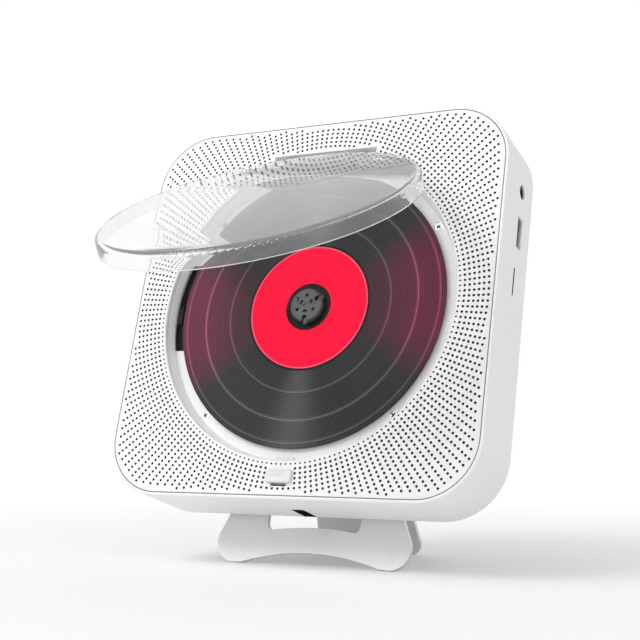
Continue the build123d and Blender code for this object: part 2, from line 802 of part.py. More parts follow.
def deck_grommets():
    rings = []
    for x, y in grommet_points:
        ring = post(x, y, grommet_low(), grommet_top(), grommet_r)
        groove = post(x, y, deck_low_z - 0.05, deck_top + 0.05, grommet_r + 1)
        ring -= groove - post(x, y, deck_low_z - 1, deck_top + 1, grommet_neck)
        rings.append(ring - post(x, y, grommet_low() - 1, grommet_top() + 1, grommet_bore))
    return rings


def deck_screws():
    screws = []
    for x, y in grommet_points:
        head = post(x, y, grommet_low() - 1.2, grommet_low(), 3.4)
        screws.append(head + post(x, y, grommet_low(), well_under - 1, screw_r * 0.7))
    return screws


def guide_rod(y):
    return bar_x(y, rod_z, deck_left + 0.9, rod_inner_x - 0.9, rod_r)


def pickup_sled():
    x0 = -lens_inner - sled_behind
    x1 = -lens_inner + sled_ahead
    sled = block(x0, x1, -sled_half, sled_half, sled_low, sled_top)
    # waist between the bearings of the main rod, and an open fork on the other rod
    waist = 5.0
    sled -= block(x0 + waist, x1 - waist, sled_half - 5.6, sled_half + 1, sled_low - 1, sled_top + 1)
    sled += block(x0, x1, sled_half - 1.4, sled_half, rack_low, rack_top)
    sled -= block(x0 - 1, x0 + waist, -sled_half - 1, -rod_y + rod_r + 2, sled_low - 1, sled_top + 1)
    sled -= bar_x(rod_y, rod_z, x0 - 1, x1 + 1, rod_r + rod_fit)
    sled -= bar_x(-rod_y, rod_z, x0 - 1, x1 + 1, rod_r + rod_fit)
    fork = block(x0 - 1, x1 + 1, -sled_half - 1, -rod_y, rod_z - rod_r - rod_fit, rod_z + rod_r + rod_fit)
    sled -= fork
    sled += post(-lens_inner, 0, sled_top, sled_top + barrel_h, barrel_r)
    sled -= post(-lens_inner, 0, sled_top + barrel_h - 1.0, sled_top + barrel_h + 1, lens_r + 0.05)
    return sled


def pickup_lens():
    seat = sled_top + barrel_h - 1.0
    bead = post(-lens_inner, 0, seat, seat + 1.4, lens_r)
    return fillet(bead.faces().sort_by(Axis.Z)[-1].edges(), 0.9)


def sled_rack():
    return Pos(0, 0, rack_low) * extrude(make_face(rack_outline()), rack_t)


def drive_gear():
    hub_r_gear = small_r - 1.2 * module
    wheel = Pos(0, 0, rack_low - 0.2) * gear(small_teeth, gear_small_t, 90 + 180 / small_teeth + 180 * (small_teeth % 2 == 0))
    wheel += Pos(0, 0, big_low) * gear(big_teeth, gear_big_t, pinion_angle)
    wheel += post(0, 0, big_low, rack_low, hub_r_gear)
    wheel -= post(0, 0, big_low - 1, rack_top + 2, stud_r + stud_fit)
    for k in range(5):
        wheel -= Rot(0, 0, 72 * k) * post(big_r * 0.62, 0, big_low - 1, big_low + gear_big_t + 0.1, 2.0)
    return Pos(gear_x, gear_y) * wheel


def gear_stud():
    stud = post(gear_x, gear_y, big_low - 0.6, deck_top - 0.2, stud_r)
    return stud + post(gear_x, gear_y, big_low - 1.2, big_low - 0.3, stud_r + 0.7)


def motor_pinion():
    away = pinion_angle + 180 + 180 / pinion_teeth
    wheel = Pos(0, 0, big_low - 0.2) * gear(pinion_teeth, gear_big_t + 0.4, away)
    return Pos(pinion_x, pinion_y) * (wheel + post(0, 0, big_low - 0.2, deck_low_z - 1.5, stud_r))


def sled_motor():
    low = max(deck_low_z - sled_motor_h, big_top + 0.5)
    can = post(pinion_x, pinion_y, low, deck_low_z, sled_motor_r)
    can = chamfer(can.faces().sort_by(Axis.Z)[0].edges(), 0.8)
    return can - post(pinion_x, pinion_y, low - 1, deck_low_z - 1, stud_r + stud_fit)


# ---- Sound ------------------------------------------------------------------------------------------------
def speaker(side):
    top = -panel_t
    ledge = top - speaker_ledge
    neck = ledge - speaker_cone_depth
    frame = turned(
        [
            (cone_r + 1.0, top),
            (speaker_r, top),
            (speaker_r, ledge - 0.6),
            (cone_r + 1.2, ledge - 0.6),
            (magnet_r - 0.6, neck),
            (magnet_r, neck),
            (magnet_r, neck - magnet_h),
            (0, neck - magnet_h),
            (0, neck + 0.6),
            (magnet_r - 1.6, neck + 0.6),
            (cone_r - 0.4, ledge),
            (cone_r + 1.0, ledge),
        ]
    )
    return Pos(side, speaker_y) * frame


def speaker_cone(side):
    ledge = -panel_t - speaker_ledge
    neck = ledge - speaker_cone_depth
    coil_r = magnet_r / 2
    cone = turned(
        [
            (0, neck + 2.6),
            (coil_r * 0.6, neck + 2.2),
            (coil_r, neck + 1.5),
            (cone_r - 1.4, ledge + 0.3),
            (cone_r - 0.7, ledge + 0.9),
            (cone_r + 0.1, ledge + 0.9),
            (cone_r + 0.9, ledge + 0.4),
            (cone_r + 0.9, ledge),
            (cone_r + 0.1, ledge),
            (cone_r - 0.5, ledge + 0.4),
            (cone_r - 1.2, ledge - 0.2),
            (coil_r, neck + 1.0),
            (0, neck + 1.0),
        ]
    )
    return Pos(side, speaker_y) * cone


# ---- Boards, sockets, cell and keys ---------------------------------------------------------------------------
def main_board():
    board = block(board_left, board_right, board_low, board_high, board_low_z, board_top)
    for x, y in standoff_points:
        board -= post(x, y, board_low_z - 1, board_top + 1, 1.1)
    return board


def board_components():
    middle = (board_left + board_right) / 2
    chips = [
        block(middle - 5, middle + 5, board_low + 10, board_low + 20, board_top, board_top + 1.4),
        block(middle - 3, middle + 3, board_low + 23, board_low + 27, board_top, board_top + 1.2),
        post(board_left + 3.5, card_y - 4, board_top, board_top + 6, 2.5),
        post(board_left + 3.5, card_y + 4, board_top, board_top + 6, 2.5),
    ]
    return chips


def headphone_jack():
    mouth = body_half - 0.6
    body = block(mouth - jack_len, side_in - 0.2, jack_y - 3.4, jack_y + 3.4, board_top, jack_z + 3.0)
    body += bar_x(jack_y, jack_z, side_in - 0.2, mouth, jack_collar_r)
    return body - bar_x(jack_y, jack_z, mouth - jack_len + 1, mouth + 1, jack_r)


def usb_port():
    mouth = body_half - 0.4
    z0, z1 = board_top, board_top + usb_h
    shell = block(mouth - usb_len, mouth, usb_y - usb_w / 2, usb_y + usb_w / 2, z0, z1)
    shell -= block(
        mouth - usb_len + 1.5,
        mouth + 1,
        usb_y - usb_w / 2 + usb_shell,
        usb_y + usb_w / 2 - usb_shell,
        z0 + usb_shell,
        z1 - usb_shell,
    )
    middle = (z0 + z1) / 2
    tongue = block(
        mouth - usb_len + 1.5,
        mouth - 1.5,
        usb_y - usb_w / 2 + 0.9,
        usb_y + usb_w / 2 - 0.9,
        middle,
        middle + usb_tongue_t,
    )
    return shell + tongue


def card_slot():
    mouth = side_in - 0.2
    body = block(mouth - card_len, mouth, card_y - card_w / 2 - 1, card_y + card_w / 2 + 1, board_top, card_z + card_gap_h / 2 + 0.5)
    gap = block(
        mouth - card_len + 1, mouth + 1, card_y - card_w / 2, card_y + card_w / 2, card_z - card_gap_h / 2, card_z + card_gap_h / 2
    )
    return body - gap


def inlet_face():
    return bottom_out + wall + inlet_deep


def power_socket():
    low = bottom_out + wall
    z0, z1 = inlet_front - inlet_l, inlet_front
    sleeve = block(-inlet_w / 2 - 1.2, inlet_w / 2 + 1.2, low, inlet_face() + 4, z0, z1 + 1.2)
    sleeve -= block(-inlet_w / 2, inlet_w / 2, low - 1, inlet_face(), z0 - 0.1, z1)
    mouth = SlotOverall(9.0, 3.2)
    sleeve -= Pos(0, inlet_face() - 1, (z0 + z1) / 2) * Rot(-90, 90, 0) * extrude(mouth, 4)
    return sleeve


def power_board():
    y0 = inlet_face() + 4
    return block(-9, 9, y0, y0 + board_t, floor_in + 0.4, inlet_front + 3)


def battery_cell():
    cell = block(
        cell_x - cell_l / 2,
        cell_x + cell_l / 2,
        cell_y - cell_w / 2,
        cell_y + cell_w / 2,
        floor_in,
        floor_in + cell_t,
    )
    return fillet(cell.edges().filter_by(Axis.Y), 1.5)


def key_board():
    return block(
        -key_board_l / 2,
        key_board_l / 2,
        key_board_top - key_board_t,
        key_board_top,
        key_z - key_board_w / 2,
        key_z + key_board_w / 2,
    )


def key_switches():
    switches = []
    half = switch_side / 2
    for x in key_xs:
        body = block(x - half, x + half, key_board_top, key_board_top + switch_h, key_z - half, key_z + half)
        switches.append(body + bar_y(x, key_z, key_board_top + switch_h, plunger_top, 1.6))
    return switches


def key(x):
    cap = extrude(SlotOverall(key_w, key_h), top_out + key_proud - key_flange_top)
    cap = chamfer(cap.faces().sort_by(Axis.Z)[-1].edges(), 0.35)
    cap += Pos(0, 0, -key_flange_t) * extrude(SlotOverall(key_w + 2, key_h + 2), key_flange_t)
    cap += Pos(0, 0, -key_flange_t - key_stem / 2) * Cylinder(1.2, key_stem)
    return Pos(x, key_flange_top, key_z) * Rot(-90, 0, 0) * cap


# ---- Fixings ----------------------------------------------------------------------------------------------
def housing_screws():
    return [screw(x, y, back + housing_screw_seat, -panel_t - 3, -1) for x, y in post_points]


def well_screws():
    screws = []
    for x, y in well_screw_points:
        head = post(x, y, well_seat, well_seat + well_screw_head_h, well_screw_head_r)
        screws.append(head + post(x, y, well_boss_low - 8, well_seat, screw_r))
    return screws


def stand_points():
    return [(x, y) for x in side_pairs(stand_screw_x) for y in stand_screw_ys]


def stand_inserts():
    tubes = []
    for x, y in stand_points():
        tube = post(x, y, back, back + insert_len, insert_r)
        tubes.append(tube - post(x, y, back - 1, back + insert_len + 1, screw_r + screw_fit))
    return tubes


def stand_screws():
    return [screw(x, y, stand_back, back + insert_len - 0.4, -1) for x, y in stand_points()]


# ---- Stand ------------------------------------------------------------------------------------------------
def leg_outline(top_half, top_y, waist_half, waist_y, foot_x, foot_r, low, arch):
    """A plate that ends below in two round feet with an arch between them."""
    foot_y = low + foot_r
    outline = Polyline(
        (-top_half, top_y),
        (-waist_half, waist_y),
        (-foot_x - foot_r * math.cos(math.radians(20)), foot_y + foot_r * math.sin(math.radians(20))),
        (-foot_x, low + 0.2),
        (foot_x, low + 0.2),
        (foot_x + foot_r * math.cos(math.radians(20)), foot_y + foot_r * math.sin(math.radians(20))),
        (waist_half, waist_y),
        (top_half, top_y),
        close=True,
    )
    plate = make_face(outline)
    for x in side_pairs(foot_x):
        plate += Pos(x, foot_y) * Circle(foot_r)
    # the arch starts where it leaves the feet
    span = foot_x - foot_r * 0.35
    arch_r = (span**2 + arch**2) / (2 * arch)
    return plate - Pos(0, low + arch - arch_r) * Circle(arch_r)


def stand_window():
    half = stand_window_half
    low = stand_window_low
    high = stand_window_high
    pane = Pos(0, (low + high) / 2) * RectangleRounded(2 * half, high - low, stand_window_r)
    rise = stand_window_arch
    bow_r = (half**2 + rise**2) / (2 * rise)
    return pane - Pos(0, low + rise - bow_r) * Circle(bow_r)


def stand_floor():
    """Height of the surface the stand rests on, in the leaning frame's own terms."""
    return math.cos(math.radians(tilt)) * plate_low + math.sin(math.radians(tilt)) * stand_back


def stand_bracket():
    plate = leg_outline(
        plate_top_half, fold_y, plate_waist_half, plate_waist_y, plate_foot_x, plate_foot_r, plate_low, plate_arch
    )
    plate -= stand_window()
    for x, y in stand_points():
        plate -= Pos(x, y) * Circle(screw_r + 0.15)
    bracket = Pos(0, 0, stand_back) * extrude(plate, sheet_t)
    # fold over the top, then the rear leg down to the floor
    turn = math.radians(180 - leg_angle)
    centre_z = stand_back - fold_r
    strip = Pos(0, fold_y, (back + stand_back) / 2) * Rot(90, 0, 0) * Rectangle(2 * plate_top_half, sheet_t)
    bracket += revolve(strip, Axis((0, fold_y, centre_z), (-1, 0, 0)), math.degrees(turn))
    out_y, out_z = math.sin(turn), math.cos(turn)
    lean_cos, lean_sin = math.cos(math.radians(tilt)), math.sin(math.radians(tilt))
    start = lean_cos * (fold_y + fold_r * out_y) + lean_sin * (centre_z + fold_r * out_z)
    fall = lean_sin * out_y - lean_cos * out_z
    length = (start - stand_floor()) / fall
    leg = leg_outline(
        plate_top_half, 0, leg_waist_half, -length * 0.75, leg_foot_x, leg_foot_r, -length, leg_arch
    )
    origin = (0, fold_y + fold_r * out_y, centre_z + fold_r * out_z)
    leg_plane = Plane(origin=origin, x_dir=(-1, 0, 0), z_dir=(0, out_y, out_z))
    bracket += extrude(leg_plane * leg, sheet_t, dir=(0, out_y, out_z))
    ground = Rot(tilt - 90, 0, 0) * Pos(0, 0, stand_floor() + foot_flat - 10) * Box(200, 300, 20)
    return bracket - ground


# ---- The whole player ---------------------------------------------------------------------------------------
pieces = {
    "front_panel": front_panel(),
    "rear_housing": rear_housing(),
    "disc_well": disc_well(),
    "lid": lid(),
    "hinge_pins": hinge_pins(),
    "hinge_washers": hinge_washers(),
    "latch_button": latch(),
    "latch_springs": latch_springs(),
    "spindle_motor": spindle_motor(),
    "spindle_shaft": spindle_shaft(),
    "turntable_hub": turntable_hub(),
    "turntable_pad": turntable_pad(),
    "disc": disc(),
    "disc_label": disc_label(),
    "mechanism_deck": mechanism_deck(),
    "deck_grommets": deck_grommets(),
    "deck_screws": deck_screws(),
    "guide_rod_main": guide_rod(rod_y),
    "guide_rod_side": guide_rod(-rod_y),
    "pickup_sled": pickup_sled(),
    "pickup_lens": pickup_lens(),
    "sled_rack": sled_rack(),
    "drive_gear": drive_gear(),
    "gear_stud": gear_stud(),
    "motor_pinion": motor_pinion(),
    "sled_motor": sled_motor(),
    "speaker_left": speaker(-speaker_x),
    "speaker_right": speaker(speaker_x),
    "speaker_cone_left": speaker_cone(-speaker_x),
    "speaker_cone_right": speaker_cone(speaker_x),
    "main_board": main_board(),
    "board_components": board_components(),
    "headphone_jack": headphone_jack(),
    "usb_port": usb_port(),
    "card_slot": card_slot(),
    "power_socket": power_socket(),
    "power_board": power_board(),
    "battery_cell": battery_cell(),
    "key_board": key_board(),
    "key_switches": key_switches(),
    "housing_screws": housing_screws(),
    "well_screws": well_screws(),
    "stand_inserts": stand_inserts(),
    "stand_screws": stand_screws(),
    "stand_bracket": stand_bracket(),
}
for number, angle in enumerate(claw_angles(), 1):
    pieces[f"disc_claw_{number}"] = disc_claw(angle)
for name, x in zip(key_names, key_xs):
    pieces[f"key_{name}"] = key(x)


def group(piece):
    """One compound for a node: a single solid, or several that share the node."""
    solids = [s for p in piece for s in p.solids()] if isinstance(piece, list) else list(piece.solids())
    return Compound(children=solids) if len(solids) > 1 else solids[0]


# The player leans back on its stand: feet on Z = 0, the whole centred on X = Y = 0.
lean = Plane(
    origin=(0, 0, 0),
    x_dir=(1, 0, 0),
    z_dir=(0, -math.cos(math.radians(tilt)), math.sin(math.radians(tilt))),
)
leaning = {name: lean.location * group(piece) for name, piece in pieces.items()}
front_y = min(piece.bounding_box().min.Y for piece in leaning.values())
back_y = max(piece.bounding_box().max.Y for piece in leaning.values())
stand_at = Pos(0, -(front_y + back_y) / 2, -stand_floor() - foot_flat)

if __name__ == "__main__":
    os.makedirs("parts", exist_ok=True)
    for name, piece in leaning.items():
        export_step(stand_at * piece, f"parts/{name}.step")
    print("origin of the player's own frame:", tuple(stand_at.position))
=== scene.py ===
import json
import math

import bmesh
import bpy
from mathutils import Euler, Matrix, Vector


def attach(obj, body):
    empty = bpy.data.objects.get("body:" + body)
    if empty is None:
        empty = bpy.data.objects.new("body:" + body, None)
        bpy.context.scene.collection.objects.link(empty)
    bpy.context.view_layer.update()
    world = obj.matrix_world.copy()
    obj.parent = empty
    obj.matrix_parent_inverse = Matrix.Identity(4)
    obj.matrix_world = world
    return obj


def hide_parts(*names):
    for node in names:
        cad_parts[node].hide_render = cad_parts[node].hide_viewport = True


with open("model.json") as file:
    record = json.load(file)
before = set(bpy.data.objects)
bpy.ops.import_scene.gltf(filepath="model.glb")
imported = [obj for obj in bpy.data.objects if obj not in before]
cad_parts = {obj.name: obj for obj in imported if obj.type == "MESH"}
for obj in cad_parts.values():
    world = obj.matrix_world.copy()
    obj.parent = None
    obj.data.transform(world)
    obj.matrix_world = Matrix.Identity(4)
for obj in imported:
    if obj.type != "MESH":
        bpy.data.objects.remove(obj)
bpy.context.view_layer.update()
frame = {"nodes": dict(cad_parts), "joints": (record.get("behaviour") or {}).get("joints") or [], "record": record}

# The looks of a flat square disc player on its sheet-metal stand. Sizes are millimetres in the
# player's own frame: X to the viewer's right, Y up along the face, Z out of the face, the disc
# axis at X = Y = 0 and the face at Z = 0. The matrix to_row sets a finished mesh on the leaning
# player. Camera, floor and lamps are in metres, in the row's frame.

record = frame["record"]
bodies = record["behaviour"]["bodies"]
body_of = {node: body for body, nodes in bodies.items() for node in nodes}
joints = {joint["name"]: joint for joint in frame["joints"]}

# ---- Sizes shared with the construction --------------------------------------------------------
body_half = 82.5
face_y = 1.1
body_bottom = face_y - body_half
panel_half = 81.2
panel_corner = 24.2
panel_t = 2.2
panel_edge_r = 0.5
skirt_in = 1.1
skirt_t = 1.2
skirt_h = 3.0
well_r = 66.0
well_lip_r = 0.8
pocket_half = 24.15
pocket_y = 68.8
latch_slot_half = 3.45
latch_slot_low = -76.25
latch_slot_high = -70.85
label_r = 26.7
seam_shadow_w = 0.42
card_y = 12.0
card_z = -17.2
card_half = 5.8
card_slot_half = 0.75
inlet_half = 2.85
inlet_z = -24.9
inlet_reach = 6.55
key_z = -17.0
key_pitch = 16.0

# ---- Screws ------------------------------------------------------------------------------------
well_screw_r = 62.4
well_screw_angles = (32, 140, 227, 313)
well_screw_points = [
    (well_screw_r * math.cos(math.radians(turn)), well_screw_r * math.sin(math.radians(turn)))
    for turn in well_screw_angles
]
housing_screw_points = ((72.0, 65.0), (-72.0, 65.0), (74.0, -38.0), (-74.0, -38.0))
stand_screw_points = ((15.0, -36.0), (15.0, -52.0), (-15.0, -36.0), (-15.0, -52.0))
well_cross_reach = 1.1
back_cross_reach = 1.3
cross_half_width = 0.28  # of its reach
first_cross_turn = 52
next_cross_turn = 31

# ---- Latch button ------------------------------------------------------------------------------
latch_y = -72.3
latch_half_w = 5.7
latch_half_h = 2.8
latch_corner = 1.2
latch_low = 0.1
latch_top = 1.5
latch_edge_r = 0.6
dish_deep = 0.42
dish_half_w = 2.9
dish_half_h = 1.35
dish_up = 0.5
dish_from = 0.9
dish_insets = (0.0, 0.05, 0.15, 0.35, 0.6, 0.9, 1.2, 1.5, 1.8, 2.1, 2.4, 2.7)
latch_boxes = (
    ((-3.2, -73.5, -2.45), (3.2, -71.1, 0.1)),
    ((-4.0, -75.2, -3.95), (4.0, -64.1, -2.45)),
    ((-7.75, -70.6, -4.9), (7.75, -69.3, -2.45)),
)

# ---- The grille --------------------------------------------------------------------------------
holes_per_ring = 200
first_ring_r = 67.45
ring_pitch = 1.956
ring_count = 26
hole_r = 0.56
lip_hole_r = 0.42
hole_sides = 10
grille_border = 1.8
hinge_bare = 1.0
# boxes without holes, round the latch button, its slot and the hinge: half width, low and high y
bare_boxes = (
    (6.1, -75.3, -68.5),
    (4.3, -77.0, -68.5),
    (pocket_half + hinge_bare, 0, pocket_y + hinge_bare),
)

# ---- Camera and light --------------------------------------------------------------------------
camera_at = (0.2414, -0.4452, 0.0601)
camera_turn = (94.36, 0.0, 26.97)
camera_lens = 71.93
sensor = 36.0
world_level = 0.62
floor_reach = 6.0
floor_fade_from = 0.06
floor_fade_over = 0.34
lamps_aim = (0.0, 0.0, 0.10)
# name, place, width, height and watts
softboxes = (
    ("key", (-0.7, -0.9, 1.1), 0.7, 0.7, 12.0),
    ("fill", (1.2, -0.8, 0.6), 0.8, 1.0, 3.0),
)

# ---- Where the player stands -------------------------------------------------------------------
disc_centre = Vector(joints["spindle_spin"]["pos_m"])
face_out = Vector(joints["spindle_spin"]["axis"])
lean = math.atan2(face_out.z, -face_out.y)
upright = math.pi / 2 - lean
tilt = Matrix.Rotation(upright, 4, "X")
to_row = Matrix.Translation(disc_centre) @ tilt @ Matrix.Scale(0.001, 4)


# ---- Node trees --------------------------------------------------------------------------------
class Field:
    """A value inside a node tree. Arithmetic on it adds Math nodes."""

    def __init__(self, tree, socket):
        self.tree = tree
        self.socket = socket

    def __add__(self, other):
        return self.tree.math("ADD", self, other)

    def __sub__(self, other):
        return self.tree.math("SUBTRACT", self, other)

    def __mul__(self, other):
        return self.tree.math("MULTIPLY", self, other)

    def __truediv__(self, other):
        return self.tree.math("DIVIDE", self, other)

    def __pow__(self, other):
        return self.tree.math("POWER", self, other)

    def __radd__(self, other):
        return self.tree.math("ADD", other, self)

    def __rsub__(self, other):
        return self.tree.math("SUBTRACT", other, self)

    def __rmul__(self, other):
        return self.tree.math("MULTIPLY", other, self)

    def __rtruediv__(self, other):
        return self.tree.math("DIVIDE", other, self)

    def __lt__(self, other):
        return self.tree.math("LESS_THAN", self, other)

    def __gt__(self, other):
        return self.tree.math("GREATER_THAN", self, other)

    def __abs__(self):
        return self.tree.math("ABSOLUTE", self)


class Tree:
    """A node tree with one way to add a node: its settings first, then its sockets."""

    def __init__(self, tree):
        self.tree = tree

    def node(self, kind, settings=None, inputs=None, out=0):
        made = self.tree.nodes.new(kind)
        for key, value in (settings or {}).items():
            if key == "stops":
                self.set_stops(made.color_ramp, value)
            else:
                setattr(made, key, value)
        for key, value in (inputs or {}).items():
            socket = made.inputs[key]
            if isinstance(value, Field):
                self.tree.links.new(value.socket, socket)
            elif value is not None:
                socket.default_value = value
        return Field(self, made.outputs[out]) if made.outputs else None

    @staticmethod
    def set_stops(ramp, stops):
        while len(ramp.elements) < len(stops):
            ramp.elements.new(0.5)
        for element, (place, colour) in zip(ramp.elements, stops):
            element.position = place
            element.color = colour

    def math(self, operation, *values):
        return self.node("ShaderNodeMath", {"operation": operation}, dict(enumerate(values)))

    def smaller(self, a, b):
        return self.math("MINIMUM", a, b)

    def larger(self, a, b):
        return self.math("MAXIMUM", a, b)

    def clamped(self, value):
        return self.smaller(self.larger(value, 0), 1)

    def length(self, a, b):
        return self.math("SQRT", a * a + b * b)

    def split(self, vector):
        first = self.node("ShaderNodeSeparateXYZ", {}, {0: vector})
        sockets = first.socket.node.outputs
        return [Field(self, socket) for socket in sockets]

    def joined(self, *parts):
        made = self.tree.nodes.new("GeometryNodeJoinGeometry")
        for part in parts:
            self.tree.links.new(part.socket, made.inputs[0])
        return Field(self, made.outputs[0])


class Finish(Tree):
    """A material built round one principled shader."""

    def __init__(self, name, **constants):
        self.material = bpy.data.materials.new(name)
        self.material.use_nodes = True
        super().__init__(self.material.node_tree)
        self.tree.nodes.clear()
        self.shader = self.node("ShaderNodeBsdfPrincipled", {}, constants)
        self.node("ShaderNodeOutputMaterial", {}, {"Surface": self.shader})

    def drive(self, socket, field):
        self.tree.links.new(field.socket, self.shader.socket.node.inputs[socket])

    def here(self):
        """Object coordinates, in metres in the row's frame."""
        return self.node("ShaderNodeTexCoord", out="Object")

    def player(self):
        """The same place in the player's own frame, in millimetres."""
        turn = Euler((-upright, 0, 0))
        shift = turn.to_matrix() @ (disc_centre * -1000)
        inputs = {"Vector": self.here(), "Location": shift, "Rotation": turn}
        inputs["Scale"] = (1000, 1000, 1000)
        return self.node("ShaderNodeMapping", {"vector_type": "POINT"}, inputs)

    def noise(self, point, scale, detail=2.0, rough=0.5):
        inputs = {"Vector": point, "Scale": scale, "Detail": detail, "Roughness": rough}
        return self.node("ShaderNodeTexNoise", {"noise_dimensions": "3D"}, inputs)

    def blend(self, factor, first, second, mode="MIX"):
        settings = {"data_type": "RGBA", "blend_type": mode}
        inputs = {0: factor, 6: first, 7: second}
        return self.node("ShaderNodeMix", settings, inputs, out=2)

    def bump(self, height, distance, strength=1.0):
        inputs = {"Height": height, "Distance": distance, "Strength": strength}
        self.drive("Normal", self.node("ShaderNodeBump", {}, inputs))


def rgba(colour):
    return (*colour, 1.0)


def moulded(name, colour, gloss_low, gloss_high, grain=3.0, depth=0.01, mottle=0.03):
    """Moulded plastic: fine grain in the bump, uneven gloss, and a slow change of tone."""
    finish = Finish(name)
    point = finish.player()
    slow = finish.noise(point, 0.03)
    fine = finish.noise(point, grain, detail=3.0)
    dark = tuple(c * (1 - mottle) for c in colour)
    finish.drive("Base Color", finish.blend(slow, rgba(dark), rgba(colour)))
    gloss = finish.noise(point, 0.4, detail=3.0)
    finish.drive("Roughness", gloss_low + gloss * (gloss_high - gloss_low))
    finish.bump(fine, depth * 0.001)
    return finish.material


def metal(name, colour, gloss_low, gloss_high, grain=2.0, depth=0.01, stretch=(1, 1, 1)):
    """Metal with a fine grain that stretches along one direction where it is drawn or turned."""
    finish = Finish(name, Metallic=1.0)
    inputs = {"Vector": finish.player(), "Scale": stretch}
    point = finish.node("ShaderNodeMapping", {"vector_type": "POINT"}, inputs)
    fine = finish.noise(point, grain, detail=4.0)
    slow = finish.noise(point, grain * 0.05)
    dark = tuple(c * 0.9 for c in colour)
    finish.drive("Base Color", finish.blend(slow, rgba(dark), rgba(colour)))
    finish.drive("Roughness", gloss_low + fine * (gloss_high - gloss_low))
    finish.bump(fine, depth * 0.001)
    return finish.material


# pale rings of the disc's print: radius, half width and how much paler
band_rings = ((36.7, 0.6, 0.07), (48.5, 0.75, 0.08), (57.8, 0.65, 0.06))
groove_pitch = 1.05
streak_power = 60.0
sheen_turn = 4
sheen_from = 0.80
sheen_over = 0.17
label_rim = 0.75


def disc_print_and_sheen():
    """Printed disc: fine rings like a record's grooves, with a painted dark red sheen left and right and painted
    pale highlights towards six and twelve o'clock.
    """
    finish = Finish("disc_print_and_sheen", **{"Specular IOR Level": 0.12})
    x, y, _ = finish.split(finish.player())
    r = finish.length(x, y)
    angle = finish.math("ARCTAN2", y, x)
    along = {"W": r * 1.6, "Detail": 3.0}
    groove = finish.node("ShaderNodeTexNoise", {"noise_dimensions": "1D"}, along)
    fine = finish.math("SINE", r * (2 * math.pi / groove_pitch)) * 0.5 + 0.5
    tone = 0.008 + groove * 0.014 + fine * 0.026
    for ring_r, half_width, paler in band_rings:
        away = abs(r - ring_r) / half_width
        tone = tone + finish.larger(1 - away, 0) * paler
    # painted highlight: pale streaks towards six and twelve o'clock
    down = finish.math("COSINE", angle + math.pi / 2)
    highlight_down = finish.larger(down, 0) ** streak_power
    highlight_up = finish.larger(0 - down, 0) ** streak_power
    tone = tone + (highlight_down + highlight_up) * (0.035 + groove * 0.03)
    # painted red sheen on both sides, stronger outwards
    across = abs(finish.math("COSINE", angle - math.radians(sheen_turn)))
    side = finish.smaller(finish.larger(across - sheen_from, 0) / sheen_over, 1)
    outward = finish.smaller(finish.larger((r - 20.0) / 30.0, 0.35), 1)
    painted_sheen = side * outward * finish.math("GREATER_THAN", r, label_r + 0.4)
    parts = {
        0: tone + painted_sheen * (tone * 1.9 + 0.036),
        1: tone - painted_sheen * tone * 0.25,
        2: tone + painted_sheen * (tone * 0.2 + 0.010),
    }
    colour = finish.node("ShaderNodeCombineColor", {}, parts)
    # black next to the label
    printed = finish.clamped((r - label_r - label_rim) / 0.3)
    finish.drive("Base Color", finish.blend(printed, (0.004, 0.003, 0.003, 1), colour))
    finish.drive("Roughness", 0.42 + groove * 0.12)
    finish.bump(fine * 0.6 + groove, 0.00002)
    return finish.material


def label_print():
    """Red print with a paler rim."""
    finish = Finish("label_print", **{"Specular IOR Level": 0.08})
    point = finish.player()
    x, y, _ = finish.split(point)
    slow = finish.noise(point, 0.08)
    red = finish.blend(slow, (0.92, 0.002, 0.040, 1), (0.96, 0.004, 0.048, 1))
    rim = finish.clamped((finish.length(x, y) - (label_r - label_rim)) / 0.25)
    finish.drive("Base Color", finish.blend(rim, red, (0.90, 0.10, 0.16, 1)))
    finish.drive("Roughness", 0.38 + finish.noise(point, 1.2) * 0.12)
    finish.bump(finish.noise(point, 6.0), 0.000004)
    return finish.material


def masked(finish, colour, mask, dark):
    """A colour that turns to another where the mask is one."""
    return finish.blend(finish.clamped(mask), colour, rgba(dark))


def panel_white():
    """Moulded white with a painted shadow line where the panel meets the housing."""
    finish = Finish("white_panel")
    point = finish.player()
    x, y, _ = finish.split(point)
    over_x = finish.larger(abs(x) - (panel_half - panel_corner), 0)
    over_y = finish.larger(abs(y - face_y) - (panel_half - panel_corner), 0)
    inside = panel_corner - finish.length(over_x, over_y)
    slow = finish.noise(point, 0.03)
    tone = finish.blend(slow, rgba((0.80, 0.80, 0.80)), rgba((0.83, 0.83, 0.83)))
    # painted shade: the rounded edge of the panel darkens into the seam
    seam_shadow = (seam_shadow_w - inside) / 0.12
    finish.drive("Base Color", masked(finish, tone, seam_shadow, (0.26, 0.26, 0.27)))
    finish.drive("Roughness", 0.42 + finish.noise(point, 0.4, detail=3.0) * 0.12)
    finish.bump(finish.noise(point, 3.0, detail=3.0), 0.00001)
    return finish.material


def shell_white():
    """Satin white, with painted shade inside the card slot and the power inlet."""
    finish = Finish("white_shell")
    point = finish.player()
    x, y, z = finish.split(point)
    slow = finish.noise(point, 0.03)
    tone = finish.blend(slow, rgba((0.83, 0.83, 0.835)), rgba((0.86, 0.86, 0.865)))
    # painted shade: the housing's walls inside the card slot and the power inlet turn near black
    slot_shade = (x > body_half - 1.8) * (x < body_half - 0.05)
    slot_shade = slot_shade * (abs(y - card_y) < card_half) * (abs(z - card_z) < card_slot_half)
    inlet_shade = (y < body_bottom + 2.15) * (abs(x) < inlet_half) * (abs(z - inlet_z) < inlet_reach)
    finish.drive("Base Color", masked(finish, tone, slot_shade + inlet_shade, (0.015, 0.015, 0.015)))
    finish.drive("Roughness", 0.30 + finish.noise(point, 0.4, detail=3.0) * 0.12)
    finish.bump(finish.noise(point, 2.0, detail=3.0), 0.000006)
    return finish.material


def cross_turn(number, quarter=0):
    """How far the cross of a screw is turned, so that no two screws stand alike."""
    return math.radians(first_cross_turn + next_cross_turn * number + quarter)


